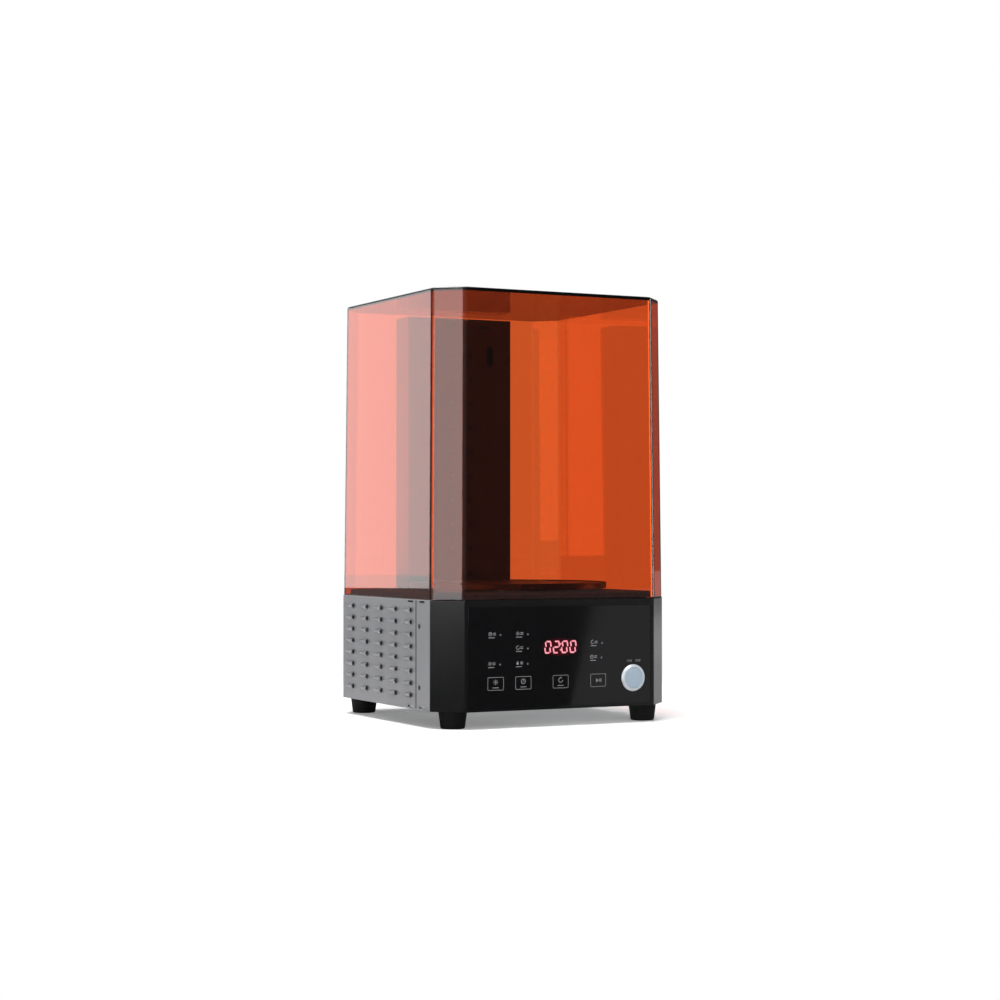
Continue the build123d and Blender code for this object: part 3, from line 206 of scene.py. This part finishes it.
# ---------------------------------------------------------------- hood
def acrylic_hood():
    """The whole hood as one clear piece, so that light bends at its corners as in welded acrylic."""
    low, high = Vector((-hood_half, -hood_half, pane_low.z)), Vector((hood_half, hood_half, lid_high.z))
    bpy.ops.mesh.primitive_cube_add(size=1, location=(low + high) / 2, scale=high - low)
    hood = bpy.context.object
    bpy.ops.object.transform_apply(location=True, rotation=True, scale=True)

    def upright(edge):
        a, b = edge_ends(hood, edge)
        return abs(a.z - b.z) > hood_half

    pick(hood, "edges", upright)
    bpy.ops.mesh.bevel(offset_type="OFFSET", offset=corner_leg, segments=1, affect="EDGES")
    pick(hood, "edges", upright)
    bpy.ops.mesh.bevel(
        offset_type="OFFSET", offset=bend_radius * tan(bend_turn / 2), segments=bend_segments, affect="EDGES"
    )
    pick(hood, "polygons", lambda face: face.normal.z < -0.5)
    bpy.ops.mesh.inset(thickness=lid_thickness, depth=0)
    bpy.ops.mesh.extrude_region_move(
        TRANSFORM_OT_translate={"value": (0, 0, lid_low.z - pane_low.z)}
    )

    def outside_top(edge):
        return all(abs(end.z - lid_high.z) < same_level for end in edge_ends(hood, edge))

    pick(hood, "edges", outside_top)
    bpy.ops.mesh.bevel(offset_type="OFFSET", offset=lid_edge, segments=4, affect="EDGES")

    def rim(edge):
        return all(abs(end.z - pane_low.z) < same_level for end in edge_ends(hood, edge))

    pick(hood, "edges", rim)
    bpy.ops.mesh.bevel(offset_type="OFFSET", offset=rim_edge, segments=1, affect="EDGES")
    middle = (low + high) / 2
    for above, half in ((True, hood_top_half), (False, hood_foot_half)):
        pick(hood, "vertices", lambda vertex: (vertex.co.z > middle.z) == above)
        share = half / hood_half
        bpy.ops.transform.resize(value=(share, share, 1), center_override=(0, 0, middle.z))
    done(hood, "acrylic_hood")
    bpy.context.view_layer.objects.active = hood
    bpy.ops.object.modifier_add(type="WEIGHTED_NORMAL")
    hood.modifiers[0].weight = 100
    hood.modifiers[0].keep_sharp = True
    bpy.ops.object.modifier_apply(modifier=hood.modifiers[0].name)
    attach(hood, "hood")
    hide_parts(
        "hood_front_pane", "hood_right_pane", "hood_rear_pane", "hood_left_pane",
        "hood_corner_panes", "hood_top_plate",
    )
    return hood


# ---------------------------------------------------------------- marks on the touch glass
def bar(x, z, width, height, slant=0.0, point=0.0):
    """Flat bar on the glass. Its ends are cut to a point for a display segment, and it may lean."""
    bpy.ops.mesh.primitive_cube_add(size=1, location=on_glass(x, z), scale=(width, ink, height))
    obj = bpy.context.object
    bpy.ops.object.transform_apply(location=True, rotation=True, scale=True)
    if point:
        pick(obj, "edges", lambda edge: through_mark(obj, edge))
        bpy.ops.mesh.bevel(offset_type="OFFSET", offset=point, segments=1, affect="EDGES")
        bpy.ops.object.mode_set(mode="OBJECT")
    if slant:
        pick(obj, "vertices", lambda vertex: True)
        bpy.ops.transform.rotate(value=slant, orient_axis="Y", center_override=on_glass(x, z))
        bpy.ops.object.mode_set(mode="OBJECT")
    return obj


def disc(x, z, width, sides=24):
    """Flat disc on the glass with a softened edge."""
    bpy.ops.mesh.primitive_cylinder_add(
        vertices=sides, radius=width / 2, depth=ink, location=on_glass(x, z), rotation=(radians(90), 0, 0)
    )
    obj = bpy.context.object
    bpy.ops.object.transform_apply(location=True, rotation=True, scale=True)
    pick(obj, "polygons", lambda face: face.normal.y < -0.9)
    bpy.ops.mesh.inset(thickness=width * 0.08, depth=ink * 0.3)
    bpy.ops.object.mode_set(mode="OBJECT")
    return obj


def ring(x, z, width, line, keep=None):
    """Flat ring on the glass, whole or only the faces that keep allows."""
    obj = disc(x, z, width, sides=32)
    inner = width / 2 - line

    def middle(face):
        return Vector((face.center.x - x, face.center.z - z)).length < inner * 0.3

    pick(obj, "polygons", lambda face: abs(face.normal.y) > 0.9 and middle(face))
    bpy.ops.mesh.inset(thickness=line * 0.6, depth=0)
    pick(obj, "polygons", lambda face: abs(face.normal.y) > 0.9 and middle(face))
    bpy.ops.mesh.delete(type="FACE")
    if keep:
        pick(obj, "polygons", lambda face: not keep(face.center.x - x, face.center.z - z))
        bpy.ops.mesh.delete(type="FACE")
    bpy.ops.object.mode_set(mode="OBJECT")
    return obj


def triangle(x, z, width, turn):
    """Flat triangle on the glass that points along turn, measured from +X."""
    bpy.ops.mesh.primitive_cylinder_add(
        vertices=3, radius=width / 2, depth=ink, location=on_glass(x, z), rotation=(radians(90), 0, 0)
    )
    obj = bpy.context.object
    bpy.ops.object.transform_apply(location=True, rotation=True, scale=True)
    tip = max(obj.data.vertices, key=lambda vertex: (vertex.co - on_glass(x, z)).z).co - on_glass(x, z)
    pick(obj, "vertices", lambda vertex: True)
    bpy.ops.transform.rotate(
        value=turn - Vector((tip.x, tip.z)).angle_signed(Vector((1, 0))), orient_axis="Y",
        center_override=on_glass(x, z),
    )
    bpy.ops.object.mode_set(mode="OBJECT")
    return obj


def sun(x, z, size):
    rays = [disc(x, z, size * 0.42)]
    for i in range(8):
        turn = i * pi / 4
        reach = size * 0.42
        rays.append(bar(x + reach * cos(turn), z + reach * sin(turn), size * 0.2, mark_line, slant=-turn))
    return rays


def clock(x, z, size):
    return [
        ring(x, z, size, mark_line),
        bar(x, z + size * 0.14, mark_line, size * 0.3),
        bar(x + size * 0.1, z, size * 0.26, mark_line),
    ]


def turn(x, z, size):
    """Ring with a gap and an arrowhead, for the turning table."""
    arc = ring(x, z, size, mark_line, keep=lambda dx, dz: not (dx > 0 and dz > 0))
    return [arc, triangle(x + size * 0.12, z + size * 0.46, size * 0.42, 0.0)]


def drop(x, z, size):
    return [disc(x, z - size * 0.12, size * 0.62), triangle(x, z + size * 0.2, size * 0.62, pi / 2)]


def play(x, z, size):
    return [
        triangle(x - size * 0.25, z, size * 0.9, 0.0),
        bar(x + size * 0.35, z, mark_line * 1.4, size * 0.7),
        bar(x + size * 0.62, z, mark_line * 1.4, size * 0.7),
    ]


pictograms = {"sun": sun, "clock": clock, "turn": turn, "drop": drop, "play": play}


def touch_key(x, z, mark):
    """Outlined key with its pictogram and a short rule under it."""
    bpy.ops.mesh.primitive_cube_add(size=1, location=on_glass(x, z), scale=(key_width, ink, key_height))
    frame_line = bpy.context.object
    bpy.ops.object.transform_apply(location=True, rotation=True, scale=True)
    pick(frame_line, "edges", lambda edge: through_mark(frame_line, edge))
    bpy.ops.mesh.bevel(offset_type="OFFSET", offset=key_corner, segments=4, affect="EDGES")
    pick(frame_line, "polygons", lambda face: abs(face.normal.y) > 0.9)
    bpy.ops.mesh.inset(thickness=key_line, depth=0)
    bpy.ops.mesh.delete(type="FACE")
    bpy.ops.object.mode_set(mode="OBJECT")
    rise = 0.0 if mark == "play" else 1.3 * mm
    parts = [frame_line, *pictograms[mark](x, z + rise, key_mark_size)]
    if mark != "play":
        parts.append(bar(x, z - key_height * 0.3, key_mark_size * 1.3, rule_height))
    return parts


def panel_print():
    """All that is printed in pale ink on the glass: keys, pictograms and the switch's label."""
    parts = []
    for x, mark in zip(key_places, ("sun", "clock", "turn", "play")):
        parts += touch_key(x * mm, key_level * mm, mark)
    for x, z, mark in lamp_marks:
        x, z = x * mm - mark_offset, z * mm
        parts += pictograms[mark](x - mark_size * 0.35, z + mark_size * 0.25, mark_size)
        for lift in (0.05, 0.45):
            parts.append(bar(x + mark_size * 0.75, z + mark_size * lift, mark_size * 0.8, rule_height))
        parts.append(bar(x, z - mark_size * 0.65, mark_size * 1.7, rule_height))
    parts += switch_words()
    marks = joined("panel_print", parts)
    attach(marks, "base")
    return marks


def switch_words():
    """ON and OFF above the power button."""
    words = []
    for body, shift in (("ON", -1), ("OFF", 1)):
        bpy.ops.object.text_add(
            location=on_glass(switch_label.x + shift * switch_word_shift, switch_label.z),
            rotation=(radians(90), 0, 0),
        )
        word = bpy.context.object
        word.data.body = body
        word.data.size = switch_label_size
        word.data.align_x = "CENTER"
        word.data.align_y = "CENTER"
        word.data.extrude = ink / 2
        word.data.resolution_u = 3
        bpy.ops.object.convert(target="MESH")
        words.append(bpy.context.object)
    return words


def digit(x, z, segments):
    """One leaning seven-segment digit. Segments are named a to g, clockwise from the top."""
    half_w, half_h = (digit_width - digit_stroke) / 2, (digit_height - digit_stroke) / 2
    lean = sin(digit_slant) / cos(digit_slant)
    across, upright = 2 * half_w - digit_gap, half_h - digit_gap
    places = {
        "a": (0, half_h, 0), "g": (0, 0, 0), "d": (0, -half_h, 0),
        "b": (half_w, half_h / 2, 1), "c": (half_w, -half_h / 2, 1),
        "f": (-half_w, half_h / 2, 1), "e": (-half_w, -half_h / 2, 1),
    }
    parts = []
    for name in segments:
        dx, dz, standing = places[name]
        size = (digit_stroke, upright) if standing else (across, digit_stroke)
        slant = digit_slant if standing else 0.0
        parts.append(bar(x + dx + dz * lean, z + dz, *size, slant=slant, point=digit_stroke * segment_point))
    return parts


def display_digits():
    """Lit digits of the timer."""
    shapes = {"0": "abcdef", "2": "abged"}
    parts = []
    for i, value in enumerate(display_time):
        x = display_middle.x + (i - 1.5) * digit_pitch
        parts += digit(x, display_middle.z, shapes[value])
    for side in (-1, 1):
        parts.append(bar(display_middle.x, display_middle.z + side * colon_rise, colon_size, colon_size))
    digits = joined("display_digits", parts)
    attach(digits, "base")
    return digits


def display_glow():
    """Area of the glass around the digits that their light fills."""
    glow = bar(display_middle.x, display_middle.z, *glow_size, point=glow_size.y * 0.3)
    pick(glow, "vertices", lambda vertex: vertex.co.y < glass_face)
    bpy.ops.transform.translate(value=(0, ink * 0.4, 0))
    done(glow, "display_glow", smooth=False)
    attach(glow, "base")
    return glow


def side_gap_shade_strips():
    """Black strip that paints the shade of the gap between each louvred cover and the plain strip in front of
    it.
    """
    parts = []
    for side, (low, high) in ((-1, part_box("side_cover_left")), (1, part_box("side_cover_right"))):
        bpy.ops.mesh.primitive_cube_add(
            size=1, location=(side * casing_half, low.y, (low.z + high.z) / 2),
            scale=(gap_shade_depth, gap_shade_width, high.z - low.z - 2 * gap_shade_width),
        )
        shade_strip = bpy.context.object
        bpy.ops.object.transform_apply(location=True, rotation=True, scale=True)
        pick(shade_strip, "polygons", lambda face: abs(face.normal.x) > 0.9)
        bpy.ops.mesh.inset(thickness=gap_shade_width / 4, depth=gap_shade_depth / 8)
        bpy.ops.object.mode_set(mode="OBJECT")
        parts.append(shade_strip)
    shade_strips = joined("side_gap_shade_strips", parts)
    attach(shade_strips, "base")
    return shade_strips


def lamp_dots():
    """Lit windows in the print, in front of the light guides."""
    dots = joined("lamp_dots", [disc(x * mm, z * mm, lamp_size, sides=16) for x, z, _ in lamp_marks])
    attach(dots, "base")
    return dots


# ---------------------------------------------------------------- finishes
def grained(name, dark, light, rough, grain, relief, metallic=0.0, ior=1.5, stretch=(1, 1, 1), patch=45):
    """Opaque finish with a fine grain, in millimetres, and a slow change of gloss over its area.

    A mix node takes its share on socket 0, plain values on 2 and 3 and colours on 6 and 7.
    """
    material, tree, shader, place = new_finish(name)
    laid = add(tree, "ShaderNodeMapping", {"Vector": place, "Scale": stretch}).outputs[0]
    fine = add(tree, "ShaderNodeTexNoise", {"Vector": laid, "Scale": every(grain), "Detail": 2.0}).outputs[0]
    slow = add(tree, "ShaderNodeTexNoise", {"Vector": place, "Scale": every(patch), "Detail": 3.0}).outputs[0]
    both = add(tree, "ShaderNodeMix", {0: 0.5, 2: fine, 3: slow}).outputs[0]
    shade = add(tree, "ShaderNodeMix", {0: both, 6: linear(dark), 7: linear(light)}, data_type="RGBA")
    gloss = add(tree, "ShaderNodeMapRange", {"Value": both, "From Min": 0.3, "From Max": 0.7,
                                             "To Min": rough[0], "To Max": rough[1]})
    bump = add(tree, "ShaderNodeBump", {"Height": fine, "Strength": 1.0, "Distance": relief * mm})
    tree.links.new(shade.outputs[2], shader.inputs["Base Color"])
    tree.links.new(gloss.outputs[0], shader.inputs["Roughness"])
    tree.links.new(bump.outputs[0], shader.inputs["Normal"])
    shader.inputs["Metallic"].default_value = metallic
    if not metallic:
        shader.inputs["IOR"].default_value = ior
    return material


def amber_acrylic():
    """Cast acrylic sheet dyed amber: polished, faintly rippled, and deeper in colour along an edge."""
    material, tree, shader, place = new_finish("amber cast acrylic, polished")
    ripple = add(tree, "ShaderNodeTexNoise", {"Vector": place, "Scale": every(60), "Detail": 1.0}).outputs[0]
    bump = add(tree, "ShaderNodeBump", {"Height": ripple, "Strength": 1.0, "Distance": 0.02 * mm})
    wipe = add(tree, "ShaderNodeTexNoise", {"Vector": place, "Scale": every(30), "Detail": 4.0}).outputs[0]
    gloss = add(tree, "ShaderNodeMapRange", {"Value": wipe, "From Min": 0.45, "From Max": 0.8,
                                             "To Min": 0.0, "To Max": 0.03})
    shader.inputs["Base Color"].default_value = linear("#FFFFFF")
    shader.inputs["Transmission Weight"].default_value = 1.0
    shader.inputs["IOR"].default_value = 1.49
    tree.links.new(gloss.outputs[0], shader.inputs["Roughness"])
    tree.links.new(bump.outputs[0], shader.inputs["Normal"])
    path = add(tree, "ShaderNodeLightPath")
    open_to_lamps = add(tree, "ShaderNodeBsdfTransparent", {"Color": linear("#F6F6F6")})
    mixed = add(tree, "ShaderNodeMixShader", {0: path.outputs["Is Shadow Ray"], 1: shader.outputs[0],
                                              2: open_to_lamps.outputs[0]})
    dye = add(tree, "ShaderNodeVolumeAbsorption", {"Color": linear("#F4B02C"), "Density": 660.0})
    output = tree.nodes["Material Output"]
    tree.links.new(mixed.outputs[0], output.inputs["Surface"])
    tree.links.new(dye.outputs[0], output.inputs["Volume"])
    return material


def lit(name, core, edge, strength, size):
    """Light-emitting mark: its light falls off a little from place to place as behind a diffuser."""
    material, tree, shader, place = new_finish(name)
    pattern = {"Vector": place, "Scale": every(size), "Detail": 1.0}
    mottle = add(tree, "ShaderNodeTexNoise", pattern).outputs[0]
    shade = add(tree, "ShaderNodeMix", {0: mottle, 6: linear(edge), 7: linear(core)}, data_type="RGBA")
    tree.links.new(shade.outputs[2], shader.inputs["Emission Color"])
    shader.inputs["Base Color"].default_value = linear("#2A2A2A")
    shader.inputs["Emission Strength"].default_value = strength
    shader.inputs["Roughness"].default_value = 0.3
    return material


def glowing_glass():
    """Black glass that red light fills from behind, less and less away from the digits."""
    material, tree, shader, place = new_finish("black glass lit red from behind")
    across = add(tree, "ShaderNodeVectorMath", {0: place, 1: display_middle}, operation="SUBTRACT").outputs[0]
    spread = add(tree, "ShaderNodeVectorMath", {0: across, 1: (1 / glow_reach.x, 0, 1 / glow_reach.y)},
                 operation="MULTIPLY").outputs[0]
    away = add(tree, "ShaderNodeVectorMath", {0: spread}, operation="LENGTH").outputs["Value"]
    mottle = add(tree, "ShaderNodeTexNoise", {"Vector": place, "Scale": every(4), "Detail": 1.0}).outputs[0]
    level = add(tree, "ShaderNodeMapRange", {"Value": away, "From Min": 0.5, "From Max": 1.0,
                                             "To Min": 0.085, "To Max": 0.0}, interpolation_type="SMOOTHSTEP")
    uneven = add(tree, "ShaderNodeMath", {0: level.outputs[0], 1: mottle}, operation="MULTIPLY")
    tree.links.new(uneven.outputs[0], shader.inputs["Emission Strength"])
    shader.inputs["Emission Color"].default_value = linear("#FF2C4E")
    shader.inputs["Base Color"].default_value = linear("#040405")
    shader.inputs["Roughness"].default_value = 0.05
    return material


def finishes():
    """Every finish of the unit, put on the pieces that have it."""
    put_on(amber_acrylic(), "acrylic_hood")

    # ABS from a spark-eroded mould: near black, satin, with a grain that breaks up highlights.
    # Its real grain is 0.2 mm; 0.7 mm is the finest that shows.
    put_on(grained("black moulded ABS, satin", "#0A0A0B", "#111213", (0.14, 0.2), 0.7, 0.002, ior=1.38),
           "front_fascia")
    put_on(grained("black moulded ABS, coarse grain", "#161617", "#1C1C1D", (0.72, 0.82), 0.9, 0.006,
                   ior=1.25),
           "deck_plate")

    # Float glass printed black on its back: a deep black with sharp reflections and faint wipe marks.
    put_on(grained("black-backed float glass", "#030304", "#060607", (0.03, 0.07), 25, 0.002, ior=1.52),
           "touch_glass")

    # Powder coat with metal flake on folded sheet: mid grey, a fine grain under 1 mm, soft gloss.
    put_on(grained("metallic grey powder coat", "#6B6C6F", "#747578", (0.29, 0.34), 0.8, 0.004, metallic=0.3),
           "side_strip_left", "side_strip_right", "side_cover_left", "side_cover_right", "rear_panel")

    # Zinc plate on folded steel: cool grey with soft cloudy spangle.
    put_on(grained("zinc-plated steel", "#8F9294", "#B4B7B9", (0.3, 0.5), 6, 0.01, metallic=1.0, patch=20),
           "bottom_pan", "motor_bracket", "power_supply", "deck_pillars", "board_standoffs")

    # Moulded rubber: flat black with a dusty bloom. The same black paints the shade in the gaps beside the
    # side covers.
    put_on(grained("black rubber, moulded", "#0B0B0B", "#141414", (0.65, 0.85), 1.2, 0.02, ior=1.3, patch=12),
           "foot_front_left", "foot_front_right", "foot_rear_left", "foot_rear_right", "cable_grommet",
           "side_gap_shade_strips")

    # Satin anodised aluminium, faced on a lathe: cool pale metal with fine brushing.
    put_on(grained("satin anodised aluminium cap", "#9DB0C0", "#ABBCCB", (0.4, 0.5), 0.9, 0.01,
                   metallic=0.3, stretch=(1, 1, 0.08)), "power_button_cap")
    put_on(grained("satin aluminium bezel", "#C9D0D6", "#DCE2E7", (0.38, 0.48), 0.9, 0.01, metallic=0.4),
           "power_button_bezel")

    # Steel parts inside: machined or plated.
    put_on(grained("nickel-plated brass", "#B9B4A6", "#CFCBBF", (0.18, 0.3), 2, 0.005, metallic=1.0),
           "power_button_nut", "inlet_pins", "turntable_magnets", "rotor_magnets")
    put_on(grained("ground steel", "#9B9D9F", "#B5B7B8", (0.22, 0.34), 0.8, 0.01, metallic=1.0,
                   stretch=(1, 1, 0.1)), "pivot_pin", "pivot_nut", "motor_shaft")
    put_on(grained("sintered bronze, oiled", "#7A5A34", "#9C7846", (0.35, 0.5), 0.8, 0.03, metallic=1.0),
           "turntable_bush")
    put_on(grained("black zinc screws", "#141415", "#232425", (0.3, 0.45), 1.5, 0.01, metallic=0.8),
           "casing_screws", "rear_screws", "pan_screws", "board_screws", "tower_screws", "drive_screws",
           "foot_screws")

    # Gloss powder coat on the folded tower: black, smooth, with a faint orange peel.
    put_on(grained("black gloss powder coat", "#1E1E1F", "#232324", (0.15, 0.18), 2.5, 0.001),
           "tower_channel", "tower_back_cover")

    # Moulded turntable: black with a soft gloss.
    put_on(grained("black polycarbonate, moulded", "#121213", "#19191A", (0.25, 0.32), 1.0, 0.004, ior=1.58),
           "turntable_disc", "drive_rotor")

    # Circuit boards: green solder mask over a cloudy weave.
    put_on(grained("solder mask on glass epoxy", "#0B4424", "#12603A", (0.25, 0.4), 1.6, 0.02, patch=8),
           "touch_board", "control_board")
    put_on(grained("black solder mask on aluminium board", "#050505", "#080808", (0.5, 0.6), 1.6, 0.005,
                   ior=1.25),
           "led_board")
    put_on(grained("black moulded epoxy", "#0D0D0E", "#1B1B1D", (0.4, 0.6), 0.9, 0.02),
           "display_module", "board_components", "power_switch_block", "turntable_motor")
    put_on(grained("black glass-filled polyamide", "#121213", "#1E1E20", (0.4, 0.55), 1.0, 0.02),
           "mains_inlet", "fan_frame", "fan_rotor")
    put_on(grained("clear polycarbonate light guide", "#C7D2DC", "#DEE6EE", (0.1, 0.2), 2, 0.0, ior=1.58),
           "indicator_lamps")
    put_on(grained("conductive foam", "#1A1A1A", "#303030", (0.8, 0.95), 0.8, 0.15), "touch_pads")
    put_on(grained("dark LED package with clear lens", "#060504", "#0B0A08", (0.3, 0.45), 1.5, 0.005,
                   ior=1.25),
           "led_emitters")
    put_on(grained("extruded aluminium, mill finish", "#A6A8AA", "#C2C4C6", (0.3, 0.42), 0.9, 0.01,
                   metallic=1.0, stretch=(1, 1, 0.05)), "led_heat_sink")
    put_on(grained("white PTFE", "#DADAD6", "#ECECE8", (0.45, 0.6), 1.0, 0.01, ior=1.35), "thrust_washer")

    # Screen ink, pale and matt on the gloss.
    put_on(grained("pale screen ink", "#686A6C", "#787A7C", (0.5, 0.65), 0.6, 0.01), "panel_print")
    put_on(lit("red LED digits", "#FFB2BE", "#FF7088", 1.1, 1.4), "display_digits")
    put_on(glowing_glass(), "display_glow")
    put_on(lit("blue-white lamps", "#C4C2E0", "#9C9ACB", 0.24, 1.2), "lamp_dots")


# ---------------------------------------------------------------- studio
camera_place = Vector((-0.9166, -1.7822, 0.1696))
camera_yaw = radians(27.21)
camera_pitch = radians(0.835)
camera_lens = 78.26
fill_level = 0.36                    # what the world gives to diffuse surfaces
glow_level = 0.4                     # what it shows in reflections
dark_level = 0.09                    # the same towards the dark side of the studio
dark_side = 72                       # heading of that side, in degrees from the front towards the right
floor_half = 9.0
floor_fade = (0.16, 0.6)             # from the middle, where the floor starts and ends to turn white
floor_lift = 0.18                    # added light that keeps the shadow pale
lamp_aim = (0, 0, 0.15)
softbox_size = (1.1, 1.1)
floor_card_rise = 1 * mm             # floor cards lie just above the floor
split_heading = 30.1                 # the two front floor cards meet on a line at this heading
split_start = Vector((0.111, -0.3, floor_card_rise))
front_card_size = (1.0, 5.2)

# Upright cards, which the panes mirror towards the camera: name, heading, distance, foot, top, width,
# strength, and whether they also show through the hood. The low ones show only mirrored in its outside.
upright_cards = (
    ("left_rear_card", -152.8, 2.6, 0.096, 0.74, 0.9, 2.6, True),
    ("left_rear_card_low", -152.8, 2.6, 0.071, 0.096, 0.9, 2.6, False),
    ("left_card", -60, 2.2, 0.102, 0.74, 1.1, 4.2, True),
    ("left_card_low", -60, 2.2, 0.085, 0.102, 1.1, 4.2, False),
    ("right_card", 76, 2.2, 0.0, 0.74, 1.1, 3.4, True),
)
# Floor cards beside the cut corners: name, heading, size and strength.
side_floor_cards = (
    ("left_floor_card", -62.8, (0.9, 2.0), 0.1),
    ("right_floor_card", 117.2, (0.9, 2.2), 0.9),
)


def heading(turn):
    """Level direction at a heading, in degrees from the front towards the right."""
    return Vector((sin(radians(turn)), -cos(radians(turn)), 0))


def seen_directly(tree):
    """1 for rays that have met nothing but air and clear acrylic on their way from the camera."""
    path = add(tree, "ShaderNodeLightPath").outputs
    turned = add(tree, "ShaderNodeMath", {0: path["Glossy Depth"], 1: path["Diffuse Depth"]}, operation="ADD")
    return add(tree, "ShaderNodeMath", {0: turned.outputs[0], 1: 0.5}, operation="LESS_THAN").outputs[0]


def white_world():
    """White behind the unit. In reflections it is a grey studio that is dark on the right."""
    world = bpy.data.worlds.new("white studio")
    bpy.context.scene.world = world
    world.use_nodes = True
    tree = world.node_tree
    view = add(tree, "ShaderNodeTexCoord").outputs["Generated"]
    towards = add(tree, "ShaderNodeVectorMath", {0: view, 1: heading(dark_side)}, operation="DOT_PRODUCT")
    shown = add(tree, "ShaderNodeMapRange", {"Value": towards.outputs["Value"],
                                             "From Min": 0.1, "From Max": 0.6,
                                             "To Min": glow_level, "To Max": dark_level}).outputs[0]
    diffuse = add(tree, "ShaderNodeLightPath").outputs["Is Diffuse Ray"]
    indirect = add(tree, "ShaderNodeMix", {0: diffuse, 2: shown, 3: fill_level}).outputs[0]
    level = add(tree, "ShaderNodeMix", {0: seen_directly(tree), 2: indirect, 3: 1.0}).outputs[0]
    tree.nodes["Background"].inputs["Color"].default_value = linear("#FFFFFF")
    tree.links.new(level, tree.nodes["Background"].inputs["Strength"])


def floor():
    """White floor that keeps the shadow near the unit and runs out into the white background."""
    bpy.ops.mesh.primitive_plane_add(size=2 * floor_half, location=(0, 0, 0))
    plane = bpy.context.object
    plane.name = plane.data.name = "studio_floor"
    material, tree, shader, place = new_finish("white studio floor")
    direct = seen_directly(tree)
    lift = add(tree, "ShaderNodeMath", {0: direct, 1: floor_lift}, operation="MULTIPLY").outputs[0]
    shader.inputs["Base Color"].default_value = linear("#EDEDED")
    shader.inputs["Roughness"].default_value = 0.9
    shader.inputs["Specular IOR Level"].default_value = 0.0
    shader.inputs["Emission Color"].default_value = linear("#FFFFFF")
    tree.links.new(lift, shader.inputs["Emission Strength"])
    away = add(tree, "ShaderNodeVectorMath", {0: place}, operation="LENGTH").outputs["Value"]
    fade = add(tree, "ShaderNodeMapRange", {"Value": away, "From Min": floor_fade[0],
                                            "From Max": floor_fade[1]}).outputs[0]
    share = add(tree, "ShaderNodeMath", {0: fade, 1: direct}, operation="MULTIPLY").outputs[0]
    white = add(tree, "ShaderNodeEmission", {"Color": linear("#FFFFFF"), "Strength": 1.0}).outputs[0]
    mixed = add(tree, "ShaderNodeMixShader", {0: share, 1: shader.outputs[0], 2: white}).outputs[0]
    tree.links.new(mixed, tree.nodes["Material Output"].inputs["Surface"])
    plane.data.materials.append(material)


def card(name, middle, tilt, turn, size, level, through=True):
    """Reflection card, seen only in reflections, and through the hood only where through is true."""
    bpy.ops.mesh.primitive_plane_add(size=1, location=middle, rotation=(radians(tilt), 0, radians(turn)))
    plane = bpy.context.object
    plane.scale = (*size, 1)
    plane.name = plane.data.name = name
    material, tree, shader, _ = new_finish(name)
    glow = add(tree, "ShaderNodeEmission", {"Color": linear("#FFFFFF"), "Strength": level}).outputs[0]
    clear = add(tree, "ShaderNodeBsdfTransparent").outputs[0]
    mixed = add(tree, "ShaderNodeMixShader", {0: seen_directly(tree), 1: glow, 2: clear}).outputs[0]
    tree.nodes.remove(shader)
    tree.links.new(mixed, tree.nodes["Material Output"].inputs["Surface"])
    plane.data.materials.append(material)
    plane.visible_camera = plane.visible_diffuse = plane.visible_shadow = plane.visible_volume_scatter = False
    plane.visible_transmission = through


def lamp(name, place, aim, size, watts):
    bpy.ops.object.light_add(type="AREA", location=place)
    light = bpy.context.object
    light.name = light.data.name = name
    light.data.shape = "RECTANGLE"
    light.data.size, light.data.size_y = size
    light.data.energy = watts
    light.rotation_mode = "QUATERNION"
    light.rotation_quaternion = (Vector(aim) - Vector(place)).to_track_quat("-Z", "Y")
    light.visible_camera = light.visible_transmission = False
    return light


def upright_card(name, turn, distance, low, high, width, level, through):
    """Card that faces the unit from a heading."""
    middle = heading(turn) * distance + Vector((0, 0, (low + high) / 2))
    card(name, middle, 90, turn, (width, high - low), level, through)


def studio():
    white_world()
    floor()
    lamp("top_softbox", (-0.3, -0.1, 2.0), lamp_aim, softbox_size, 62)
    for name, turn, rise, watts in (("left_softbox", -80, 0.9, 1), ("front_softbox", -8, 0.7, 13)):
        soft = lamp(name, heading(turn) * 1.9 + Vector((0, 0, rise)), lamp_aim, softbox_size, watts)
        soft.visible_glossy = False
    for values in upright_cards:
        upright_card(*values)
    edge = split_start + heading(split_heading) * 2.2
    aside = heading(split_heading + 90) * (front_card_size[0] / 2)
    card("front_floor_card_left", edge - aside, 0, split_heading, front_card_size, 0.08)
    card("front_floor_card_right", edge + aside, 0, split_heading, front_card_size, 0.43)
    for name, turn, size, level in side_floor_cards:
        card(name, heading(turn) * 1.3 + Vector((0, 0, floor_card_rise)), 0, turn, size, level)
    bpy.ops.object.camera_add(
        location=camera_place, rotation=(radians(90) + camera_pitch, 0, -camera_yaw)
    )
    camera = bpy.context.object
    camera.data.lens = camera_lens
    camera.data.sensor_width = 36
    camera.data.clip_start = 0.05
    bpy.context.scene.camera = camera
    bpy.context.scene.view_settings.view_transform = "Standard"


acrylic_hood()
side_gap_shade_strips()
panel_print()
display_glow()
display_digits()
lamp_dots()
finishes()
studio()
